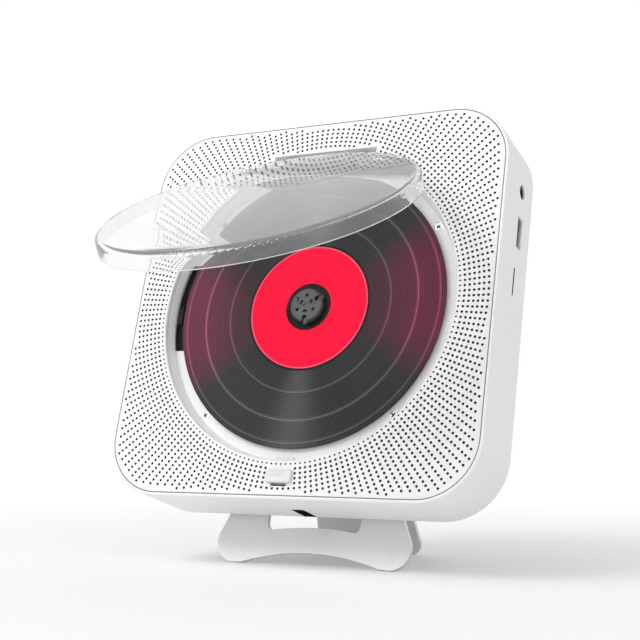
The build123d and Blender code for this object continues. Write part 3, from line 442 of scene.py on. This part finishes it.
def screw_heads(name, points, metallic, tone, reach):
    """Screw heads with painted shade inside the crosses which recessed() cuts."""
    finish = Finish(name, Metallic=metallic)
    point = finish.player()
    x, y, _ = finish.split(point)
    cross_shade = 0
    for number, (at_x, at_y) in enumerate(points):
        turn = cross_turn(number)
        u = (x - at_x) * math.cos(turn) + (y - at_y) * math.sin(turn)
        v = (y - at_y) * math.cos(turn) - (x - at_x) * math.sin(turn)
        for across, along in ((u, v), (v, u)):
            cross_shade = cross_shade + (abs(across) < reach * cross_half_width) * (abs(along) < reach)
    cross_shade = finish.smaller(cross_shade, 1)
    # painted shade: the inside of each cross is near black
    finish.drive("Base Color", masked(finish, rgba((tone, tone, tone)), cross_shade, (0.03, 0.03, 0.03)))
    finish.drive("Roughness", 0.30 + finish.noise(point, 1.5) * 0.15)
    finish.bump(finish.noise(point, 4.0), 0.000005)
    return finish.material


def key_symbols():
    """White keys with a small printed mark on each, drawn in u to the right and v to the back."""
    finish = Finish("key_tops")
    point = finish.player()
    x, y, z = finish.split(point)
    v = (0 - z) + key_z
    in_row = (mark_power, mark_source, mark_volume, mark_back, mark_play, mark_next)
    marks = 0
    for number, mark in enumerate(in_row):
        u = x - key_pitch * (number - (len(in_row) - 1) / 2)
        marks = marks + mark(finish, u, v)
    marks = finish.smaller(marks, 1) * (y > body_bottom + 2 * body_half)
    slow = finish.noise(point, 0.05)
    tone = finish.blend(slow, rgba((0.76, 0.76, 0.765)), rgba((0.80, 0.80, 0.805)))
    finish.drive("Base Color", masked(finish, tone, marks, (0.16, 0.16, 0.17)))
    finish.drive("Roughness", 0.36 + finish.noise(point, 0.4) * 0.12)
    finish.bump(finish.noise(point, 3.0, detail=3.0), 0.00001)
    return finish.material


mark_line = 0.13
mark_r = 0.95
mark_half_h = 0.75
mark_slope = 0.68


def bar(u, v, at, half_w, half_h):
    return (abs(u - at) < half_w) * (abs(v) < half_h)


def ring(finish, u, v, r, half_w):
    return abs(finish.length(u, v) - r) < half_w


def triangle(u, v, way, at):
    """A filled triangle with its base at u = at, pointing along +u or -u."""
    along = (u - at) * way
    return (along > 0) * (abs(v) < mark_half_h - along * mark_slope)


def mark_power(finish, u, v):
    gap = 1 - (abs(u) < 0.32) * (v > 0)
    return ring(finish, u, v, mark_r, mark_line) * gap + bar(u, v - 0.75, 0, mark_line, 0.55)


def mark_source(finish, u, v):
    return ring(finish, u, v, mark_r, mark_line) + ring(finish, u, v, 0.2, 0.2)


def mark_volume(finish, u, v):
    plus = bar(u, v, -1.2, mark_line, 0.6) + bar(u, v, -1.2, 0.6, mark_line)
    return plus + bar(u, v, 1.2, 0.6, mark_line)


def mark_back(finish, u, v):
    arrows = triangle(u, v, -1, 0.1) + triangle(u, v, -1, 1.2)
    return arrows + bar(u, v, -1.15, 0.12, mark_half_h)


def mark_play(finish, u, v):
    pause = bar(u, v, 0.45, 0.14, mark_half_h) + bar(u, v, 0.95, 0.14, mark_half_h)
    return triangle(u, v, 1, -1.1) + pause


def mark_next(finish, u, v):
    arrows = triangle(u, v, 1, -0.1) + triangle(u, v, 1, -1.2)
    return arrows + bar(u, v, 1.15, 0.12, mark_half_h)


def clear_plastic():
    """Polished clear plastic with the faintest haze."""
    constants = {"Base Color": (0.97, 0.98, 0.99, 1), "Transmission Weight": 0.93, "IOR": 1.3}
    finish = Finish("clear_plastic", **constants)
    point = finish.player()
    finish.drive("Roughness", 0.015 + finish.noise(point, 0.15) * 0.02)
    finish.bump(finish.noise(point, 0.05), 0.00002)
    return finish.material


def lens_glass():
    """Coated glass of the pickup's lens."""
    constants = {"Base Color": (0.35, 0.40, 0.62, 1), "Transmission Weight": 0.6, "IOR": 1.6}
    finish = Finish("lens_glass", **constants)
    finish.drive("Roughness", 0.03 + finish.noise(finish.player(), 0.6) * 0.03)
    return finish.material


# ---- Meshes ------------------------------------------------------------------------------------
def new_piece(name, mesh, material):
    piece = bpy.data.objects.new(name, mesh)
    bpy.context.scene.collection.objects.link(piece)
    if material:
        mesh.materials.clear()
        mesh.materials.append(material)
    return piece


def seat(piece, node):
    """The piece stands for a node: same body, and the node is hidden."""
    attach(piece, body_of[node])
    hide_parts(node)
    return piece


def shade(mesh, angle=32):
    """Smooth faces, with a crease wherever they meet more sharply than the angle."""
    mesh.shade_smooth()
    mesh.set_sharp_from_angle(angle=math.radians(angle))


def welded(node):
    """The node's surface as one joined mesh."""
    work = bmesh.new()
    work.from_mesh(frame["nodes"][node].data)
    bmesh.ops.remove_doubles(work, verts=work.verts, dist=2e-7)
    mesh = bpy.data.meshes.new(node + "_skin")
    work.to_mesh(mesh)
    work.free()
    kept_normals = mesh.attributes.get("custom_normal")
    if kept_normals:
        mesh.attributes.remove(kept_normals)
    return mesh


def dressed(node, material, angle=32):
    """A node's own shape with smooth shading and its finish."""
    mesh = welded(node)
    shade(mesh, angle)
    return seat(new_piece(node + "_finished", mesh, material), node)


def recessed(node, points, face_z, reach, deep, material):
    """A node of screws with a cross cut into each head, whose face is at face_z."""
    work = bmesh.new()
    for number, (x, y) in enumerate(points):
        for quarter in (0, 90):
            made = bmesh.ops.create_cube(work, size=1.0)["verts"]
            turn = Matrix.Rotation(cross_turn(number, quarter), 4, "Z")
            size = Matrix.Diagonal((2 * reach, 2 * cross_half_width * reach, 2 * deep, 1))
            place = to_row @ Matrix.Translation((x, y, face_z)) @ turn @ size
            bmesh.ops.transform(work, matrix=place, verts=made)
    mesh = bpy.data.meshes.new("crosses")
    work.to_mesh(mesh)
    work.free()
    cutter = new_piece("crosses", mesh, None)
    piece = new_piece(node + "_finished", welded(node), material)
    cut = piece.modifiers.new("recess", "BOOLEAN")
    cut.operation = "DIFFERENCE"
    cut.object = cutter
    cut.solver = "EXACT"
    cut.use_self = True
    flatten(piece)
    bpy.data.objects.remove(cutter)
    shade(piece.data)
    return seat(piece, node)


def flatten(piece):
    """Turns the evaluated object into a plain mesh with no modifier."""
    graph = bpy.context.evaluated_depsgraph_get()
    mesh = bpy.data.meshes.new_from_object(piece.evaluated_get(graph))
    materials = list(piece.data.materials)
    piece.modifiers.clear()
    piece.data = mesh
    if not mesh.materials:
        for material in materials:
            mesh.materials.append(material)
    return piece


def painted(nodes, material):
    """A finish on inner nodes that keep their own surface."""
    for node in nodes:
        for slot in frame["nodes"][node].material_slots:
            slot.material = material


# ---- Perforated front panel --------------------------------------------------------------------
def rounded_square(half, corner, steps=24):
    """Corner points of a square with round corners, anticlockwise, centred on the face."""
    points = []
    middle = half - corner
    for quarter, (sx, sy) in enumerate(((1, 1), (-1, 1), (-1, -1), (1, -1))):
        for step in range(steps + 1):
            angle = math.pi / 2 * (quarter + step / steps)
            x = sx * middle + corner * math.cos(angle)
            y = sy * middle + corner * math.sin(angle)
            points.append((x, face_y + y))
    return points


def well_edge(radius, steps=220):
    """The round of the well, from one side of the hinge pocket the long way to the other."""
    start = math.acos(pocket_half / radius)
    sweep = 2 * math.pi - (math.pi - 2 * start)
    points = []
    for step in range(steps + 1):
        angle = start - sweep * step / steps
        points.append((radius * math.cos(angle), radius * math.sin(angle)))
    return points


def add_loop(work, points, z):
    verts = [work.verts.new((x, y, z)) for x, y in points]
    for a, b in zip(verts, verts[1:] + verts[:1]):
        work.edges.new((a, b))
    return verts


def add_strip(work, loops, closed):
    """Faces between successive rows of points."""
    rows = [[work.verts.new(point) for point in loop] for loop in loops]
    for low, high in zip(rows, rows[1:]):
        count = len(low) if closed else len(low) - 1
        for k in range(count):
            work.faces.new((low[k], low[(k + 1) % len(low)], high[(k + 1) % len(low)], high[k]))
    return rows


def quarter_round(radius, steps=5):
    """(inward, down) offsets of a rounded edge, from the flat to the wall."""
    angles = [math.pi / 2 * k / steps for k in range(steps + 1)]
    return [(radius * (1 - math.sin(turn)), radius * (1 - math.cos(turn))) for turn in angles]


pocket_end = [(-pocket_half, pocket_y), (pocket_half, pocket_y)]


def panel_outlines():
    """The edge loops of the flat of the panel."""
    work = bmesh.new()
    add_loop(work, rounded_square(panel_half - panel_edge_r, panel_corner - panel_edge_r), 0)
    add_loop(work, well_edge(well_r + well_lip_r) + pocket_end, 0)
    add_loop(work, latch_slot(), 0)
    mesh = bpy.data.meshes.new("panel_outlines")
    work.to_mesh(mesh)
    work.free()
    return mesh


def latch_slot():
    """The slot in which the latch button's stem slides."""
    half, low, high = latch_slot_half, latch_slot_low, latch_slot_high
    return [(-half, low), (half, low), (half, high), (-half, high)]


def panel_edges(work):
    """Rounded rim, rounded lip of the well, and the straight walls of pocket and slot."""
    rim = []
    for inward, down in quarter_round(panel_edge_r):
        loop = rounded_square(panel_half - inward, panel_corner - inward)
        rim.append([(x, y, -down) for x, y in loop])
    under = rounded_square(panel_half, panel_corner)
    rim.append([(x, y, -panel_t) for x, y in under])
    inner = rounded_square(panel_half - panel_edge_r, panel_corner - panel_edge_r)
    rim.append([(x, y, -panel_t) for x, y in inner])
    add_strip(work, rim, True)
    lip = []
    for inward, down in quarter_round(well_lip_r):
        lip.append([(x, y, -down) for x, y in well_edge(well_r + inward)])
    lip.append([(x, y, -panel_t) for x, y in well_edge(well_r)])
    lip.append([(x, y, -panel_t) for x, y in well_edge(well_r + well_lip_r)])
    rows = add_strip(work, lip, False)
    for end, side in ((0, 1), (-1, -1)):
        section = [row[end].co.copy() for row in rows]
        corner = [(side * pocket_half, pocket_y, -panel_t), (side * pocket_half, pocket_y, 0)]
        work.faces.new([work.verts.new(point) for point in section + corner])
    for loop, closed in ((latch_slot(), True), (pocket_end, False)):
        walls = [[(x, y, z) for x, y in loop] for z in (0, -panel_t)]
        add_strip(work, walls, closed)


def panel_backing(work):
    """Locating skirt under the panel."""
    outer = panel_half - skirt_in
    inner = outer - skirt_t
    top = -panel_t
    foot = -panel_t - skirt_h
    loops = []
    for half, z in ((outer, top), (outer, foot), (inner, foot), (inner, top), (outer, top)):
        corner = panel_corner - (panel_half - half)
        loops.append([(x, y, z) for x, y in rounded_square(half, corner)])
    add_strip(work, loops, True)


def perforations():
    """Geometry tree: the flat of the panel with its rings of holes and their walls."""
    group = bpy.data.node_groups.new("perforations", "GeometryNodeTree")
    sockets = (
        ("Outline", "NodeSocketGeometry", None),
        ("Holes per ring", "NodeSocketInt", holes_per_ring),
        ("Rings", "NodeSocketInt", ring_count),
        ("First ring", "NodeSocketFloat", first_ring_r),
        ("Ring pitch", "NodeSocketFloat", ring_pitch),
        ("Hole radius", "NodeSocketFloat", hole_r),
        ("Lip hole radius", "NodeSocketFloat", lip_hole_r),
        ("Hole sides", "NodeSocketInt", hole_sides),
        ("Thickness", "NodeSocketFloat", panel_t),
        ("Border", "NodeSocketFloat", grille_border),
        ("Face finish", "NodeSocketMaterial", None),
        ("Hole shade", "NodeSocketMaterial", None),
    )
    for name, kind, value in sockets:
        socket = group.interface.new_socket(name=name, in_out="INPUT", socket_type=kind)
        if value is not None:
            socket.default_value = value
    group.interface.new_socket(name="Panel", in_out="OUTPUT", socket_type="NodeSocketGeometry")
    tree = Tree(group)
    start = group.nodes.new("NodeGroupInput")
    given = {socket.name: Field(tree, socket) for socket in start.outputs if socket.name}
    # hole centres, ring by ring
    index = tree.node("GeometryNodeInputIndex")
    ring = tree.math("FLOOR", (index + 0.5) / given["Holes per ring"])
    step = index - ring * given["Holes per ring"]
    angle = step * (2 * math.pi) / given["Holes per ring"]
    reach = given["First ring"] + ring * given["Ring pitch"]
    x = reach * tree.math("COSINE", angle)
    y = reach * tree.math("SINE", angle)
    place = tree.node("ShaderNodeCombineXYZ", {}, {0: x, 1: y})
    count = given["Holes per ring"] * given["Rings"]
    centres = tree.node("GeometryNodePoints", {}, {"Count": count, "Position": place})
    # distance inside the panel's outline
    at_x, at_y, _ = tree.split(tree.node("GeometryNodeInputPosition"))
    over_x = abs(at_x) - (panel_half - panel_corner)
    over_y = abs(at_y - face_y) - (panel_half - panel_corner)
    corner = tree.length(tree.larger(over_x, 0), tree.larger(over_y, 0))
    outside = corner + tree.smaller(tree.larger(over_x, over_y), 0) - panel_corner
    off_edge = outside > 0 - given["Border"]
    bare = off_edge
    for half, low, high in bare_boxes:
        bare = bare + (abs(at_x) < half) * (at_y > low) * (at_y < high)
    inputs = {"Geometry": centres, "Selection": bare > 0.5}
    kept = tree.node("GeometryNodeDeleteGeometry", {"domain": "POINT"}, inputs)
    # one circle a hole, the ring on the lip finer
    inputs = {"Resolution": given["Hole sides"], "Radius": 1.0}
    circle = tree.node("GeometryNodeCurvePrimitiveCircle", {"mode": "RADIUS"}, inputs)
    on_lip = tree.length(at_x, at_y) < given["First ring"] + given["Ring pitch"] * 0.5
    size = given["Hole radius"] + on_lip * (given["Lip hole radius"] - given["Hole radius"])
    scale = tree.node("ShaderNodeCombineXYZ", {}, {0: size, 1: size, 2: 1.0})
    inputs = {"Points": kept, "Instance": circle, "Scale": scale}
    circles = tree.node("GeometryNodeInstanceOnPoints", {}, inputs)
    circles = tree.node("GeometryNodeRealizeInstances", {}, {"Geometry": circles})
    outlines = tree.node("GeometryNodeMeshToCurve", {}, {"Mesh": given["Outline"]})
    flat = tree.node("GeometryNodeFillCurve", {}, {"Curve": tree.joined(circles, outlines)})
    down = tree.node("ShaderNodeCombineXYZ", {}, {2: 0 - given["Thickness"]})
    under = tree.node("GeometryNodeTransform", {}, {"Geometry": flat, "Translation": down})
    under = tree.node("GeometryNodeFlipFaces", {}, {"Mesh": under})
    # walls of the holes, near black as painted shade
    rings = tree.node("GeometryNodeCurveToMesh", {}, {"Curve": circles})
    inputs = {"Mesh": rings, "Offset": down, "Offset Scale": 1.0}
    walls = tree.node("GeometryNodeExtrudeMesh", {"mode": "EDGES"}, inputs)
    inputs = {"Geometry": walls, "Material": given["Hole shade"]}
    walls = tree.node("GeometryNodeSetMaterial", {}, inputs)
    inputs = {"Geometry": tree.joined(under, flat), "Material": given["Face finish"]}
    sheets = tree.node("GeometryNodeSetMaterial", {}, inputs)
    inputs = {"Geometry": tree.joined(walls, sheets)}
    done = tree.node("GeometryNodeRealizeInstances", {}, inputs)
    end = group.nodes.new("NodeGroupOutput")
    group.links.new(done.socket, end.inputs[0])
    return group


def set_input(modifier, name, value):
    """Sets a geometry tree's input by the identifier of its socket."""
    for item in modifier.node_group.interface.items_tree:
        if item.in_out == "INPUT" and item.name == name:
            modifier[item.identifier] = value


def perforated_panel(face_finish, hole_shade):
    """The front panel: its perforated flat, then rim, lip, walls and skirt welded on."""
    piece = new_piece("perforated_panel", panel_outlines(), None)
    modifier = piece.modifiers.new("grille", "NODES")
    modifier.node_group = perforations()
    set_input(modifier, "Face finish", face_finish)
    set_input(modifier, "Hole shade", hole_shade)
    flatten(piece)
    mesh = piece.data
    face_slot = list(mesh.materials).index(face_finish)
    work = bmesh.new()
    work.from_mesh(mesh)
    for face in work.faces:
        face.smooth = face.material_index != face_slot
    flat_faces = set(work.faces)
    panel_edges(work)
    panel_backing(work)
    for face in work.faces:
        if face not in flat_faces:
            face.material_index = face_slot
            face.smooth = True
    bmesh.ops.remove_doubles(work, verts=work.verts, dist=1e-4)
    bmesh.ops.recalc_face_normals(work, faces=work.faces)
    work.to_mesh(mesh)
    work.free()
    mesh.set_sharp_from_angle(angle=math.radians(50))
    mesh.transform(to_row)
    return seat(piece, "front_panel")


arc_steps = 8
# the pieces of each straight side of the cap, by the number of the point where it starts
side_pieces = {8: 12, 17: 4, 26: 12, 35: 4}


def inset_tile(inset):
    """Outline of the latch button's cap, drawn in by an inset."""
    corner = max(latch_corner - inset, 0.04)
    half_w = latch_half_w - inset - corner
    half_h = max(latch_half_h - inset - corner, 0.01)
    points = []
    for quarter, (sx, sy) in enumerate(((1, 1), (-1, 1), (-1, -1), (1, -1))):
        for step in range(arc_steps + 1):
            angle = math.pi / 2 * (quarter + step / arc_steps)
            x = sx * half_w + corner * math.cos(angle)
            y = sy * half_h + corner * math.sin(angle)
            points.append((x, y))
    # more points along the straight sides, so that the dish stays round
    dense = []
    for start, ((x0, y0), (x1, y1)) in enumerate(zip(points, points[1:] + points[:1])):
        pieces = side_pieces.get(start, 1)
        for k in range(pieces):
            dense.append((x0 + (x1 - x0) * k / pieces, y0 + (y1 - y0) * k / pieces))
    return dense


def latch_button(material):
    """Thumb button with a soft dish, on its stem and slider."""
    work = bmesh.new()
    rows = [[(x, y + latch_y, latch_low) for x, y in inset_tile(0.0)]]
    for inset in dish_insets:
        shy = max(latch_edge_r - inset, 0)
        rise = latch_top - latch_edge_r + math.sqrt(latch_edge_r**2 - shy**2)
        row = []
        for x, y in inset_tile(inset):
            fall = (x / dish_half_w) ** 4 + ((y - dish_up) / dish_half_h) ** 4
            dish = dish_deep * math.exp(-fall) * min(inset / dish_from, 1)
            row.append((x, y + latch_y, rise - dish))
        rows.append(row)
    made = add_strip(work, rows, True)
    work.faces.new(made[-1])
    work.faces.new(list(reversed(made[0])))
    for low, high in latch_boxes:
        add_box(work, low, high)
    bmesh.ops.recalc_face_normals(work, faces=work.faces)
    mesh = bpy.data.meshes.new("latch_button_skin")
    work.to_mesh(mesh)
    work.free()
    mesh.transform(to_row)
    shade(mesh, 40)
    return seat(new_piece("latch_button_finished", mesh, material), "latch_button")


def add_box(work, low, high):
    """A box with its edges just broken."""
    made = bmesh.ops.create_cube(work, size=1.0)["verts"]
    for vert in made:
        for axis in range(3):
            vert.co[axis] = (low[axis] + high[axis]) / 2 + vert.co[axis] * (high[axis] - low[axis])
    edges = {edge for vert in made for edge in vert.link_edges}
    bmesh.ops.bevel(work, geom=list(edges), offset=0.12, segments=1, affect="EDGES")


# ---- Floor, light and camera -------------------------------------------------------------------
def floor_finish():
    """Pale floor that fades to the white of the background away from the player."""
    constants = {"Base Color": (0.93, 0.93, 0.93, 1), "Roughness": 0.9}
    finish = Finish("pale_floor", **constants, **{"Specular IOR Level": 0.1})
    x, y, _ = finish.split(finish.here())
    fade = finish.clamped((finish.length(x, y) - floor_fade_from) / floor_fade_over)
    glow = finish.node("ShaderNodeEmission", {}, {"Color": (1, 1, 1, 1), "Strength": 1.0})
    factor = seen_by(finish) * (0.04 + fade * 0.96)
    both = finish.node("ShaderNodeMixShader", {}, {0: factor, 1: finish.shader, 2: glow})
    out = [node for node in finish.tree.nodes if node.type == "OUTPUT_MATERIAL"][0]
    finish.tree.links.new(both.socket, out.inputs["Surface"])
    return finish.material


def seen_by(tree):
    """One for the camera, straight or through a reflection or clear plastic, and else nought."""
    path = tree.tree.nodes.new("ShaderNodeLightPath")
    names = ("Is Camera Ray", "Is Glossy Ray", "Is Transmission Ray")
    total = sum((Field(tree, path.outputs[name]) for name in names), 0)
    return tree.smaller(total, 1)


def floor():
    mesh = bpy.data.meshes.new("floor")
    sides = ((-1, -1), (1, -1), (1, 1), (-1, 1))
    corners = [(sx * floor_reach, sy * floor_reach, 0) for sx, sy in sides]
    mesh.from_pydata(corners, [], [(0, 1, 2, 3)])
    new_piece("floor", mesh, floor_finish())


def surroundings():
    world = bpy.data.worlds.new("studio")
    bpy.context.scene.world = world
    world.use_nodes = True
    tree = Tree(world.node_tree)
    tree.tree.nodes.clear()
    level = world_level + seen_by(tree) * (1.0 - world_level)
    sky = tree.node("ShaderNodeBackground", {}, {"Color": (1, 1, 1, 1), "Strength": level})
    tree.node("ShaderNodeOutputWorld", {}, {"Surface": sky})


def softbox(name, at, aim, width, height, power):
    light = bpy.data.lights.new(name, "AREA")
    light.shape = "RECTANGLE"
    light.size = width
    light.size_y = height
    light.energy = power
    lamp = bpy.data.objects.new(name, light)
    bpy.context.scene.collection.objects.link(lamp)
    lamp.location = at
    lamp.rotation_euler = (Vector(aim) - Vector(at)).to_track_quat("-Z", "Y").to_euler()


def camera():
    data = bpy.data.cameras.new("camera")
    data.sensor_width = sensor
    data.lens = camera_lens
    view = bpy.data.objects.new("camera", data)
    bpy.context.scene.collection.objects.link(view)
    view.location = camera_at
    view.rotation_euler = [math.radians(turn) for turn in camera_turn]
    bpy.context.scene.camera = view


camera()
surroundings()
floor()
for name, at, width, height, power in softboxes:
    softbox(name, at, lamps_aim, width, height, power)
bpy.context.scene.view_settings.view_transform = "Standard"

# ---- Finishes ----------------------------------------------------------------------------------
white_panel = panel_white()
# painted shade: the walls of the grille's holes are near black
hole_shadow = moulded("hole_shadow", (0.05, 0.05, 0.05), 0.7, 0.8)
white_shell = shell_white()
key_white = moulded("key_white", (0.72, 0.72, 0.725), 0.42, 0.52)
deck_black = moulded("deck_black", (0.055, 0.058, 0.056), 0.40, 0.55, depth=0.02, mottle=0.15)
screw_pale = screw_heads("pale_screws", well_screw_points, 0.5, 0.62, well_cross_reach)
housing_zinc = screw_heads("housing_zinc", housing_screw_points, 1.0, 0.5, back_cross_reach)
stand_zinc = screw_heads("stand_zinc", stand_screw_points, 1.0, 0.5, back_cross_reach)
bright_steel = metal("bright_steel", (0.86, 0.86, 0.87), 0.30, 0.42)
pale_well = moulded("pale_well", (0.84, 0.84, 0.84), 0.40, 0.50)
black = (0.022, 0.023, 0.023)
black_plastic = moulded("black_plastic", black, 0.38, 0.55, depth=0.02, mottle=0.2)
hub_black = moulded("hub_black", (0.045, 0.048, 0.047), 0.40, 0.55, depth=0.02, mottle=0.15)
dark_rubber = moulded("dark_rubber", (0.018, 0.018, 0.018), 0.6, 0.8)
gear_plastic = moulded("gear_plastic", (0.72, 0.70, 0.63), 0.35, 0.5)
board_green = moulded("board_green", (0.02, 0.12, 0.05), 0.3, 0.45)
paper_cone = moulded("paper_cone", (0.02, 0.02, 0.02), 0.75, 0.9, depth=0.05)
zinc = metal("zinc", (0.62, 0.62, 0.63), 0.22, 0.38)
drawn_steel = metal("drawn_steel", (0.55, 0.55, 0.56), 0.25, 0.45)
foil = metal("foil", (0.66, 0.66, 0.67), 0.35, 0.5)
brass = metal("turned_brass", (0.72, 0.50, 0.20), 0.25, 0.4)
blasted = metal("blasted_aluminium", (0.74, 0.74, 0.75), 0.50, 0.62, grain=4.0, depth=0.06)

# ---- Pieces ------------------------------------------------------------------------------------
perforated_panel(white_panel, hole_shadow)
dressed("rear_housing", white_shell)
dressed("disc_well", pale_well)
dressed("lid", clear_plastic())
latch_button(key_white)
dressed("disc", disc_print_and_sheen())
dressed("disc_label", label_print())
dressed("turntable_hub", hub_black)
dressed("mechanism_deck", deck_black)
dressed("stand_bracket", blasted)
dressed("hinge_pins", zinc)
recessed("housing_screws", housing_screw_points, -32.1, back_cross_reach, 0.7, housing_zinc)
recessed("stand_screws", stand_screw_points, -37.5, back_cross_reach, 0.7, stand_zinc)
recessed("well_screws", well_screw_points, -6.6, well_cross_reach, 0.5, screw_pale)
dressed("spindle_shaft", hub_black)
key_tops = key_symbols()
for name in ("power", "source", "volume", "previous", "play", "next"):
    dressed("key_" + name, key_tops)
dressed("headphone_jack", black_plastic)
dressed("usb_port", bright_steel)
dressed("card_slot", black_plastic)
dressed("power_socket", black_plastic)
painted(["hinge_washers", "turntable_pad", "deck_grommets"], dark_rubber)
painted(["latch_springs", "deck_screws", "guide_rod_main", "guide_rod_side", "gear_stud"], zinc)
painted(["spindle_motor", "sled_motor", "speaker_left", "speaker_right"], drawn_steel)
painted(["pickup_sled", "board_components", "key_switches"], black_plastic)
painted(["disc_claw_1", "disc_claw_2", "disc_claw_3"], hub_black)
painted(["sled_rack", "drive_gear", "motor_pinion"], gear_plastic)
painted(["speaker_cone_left", "speaker_cone_right"], paper_cone)
painted(["main_board", "power_board", "key_board"], board_green)
painted(["battery_cell"], foil)
painted(["stand_inserts"], brass)
painted(["pickup_lens"], lens_glass())
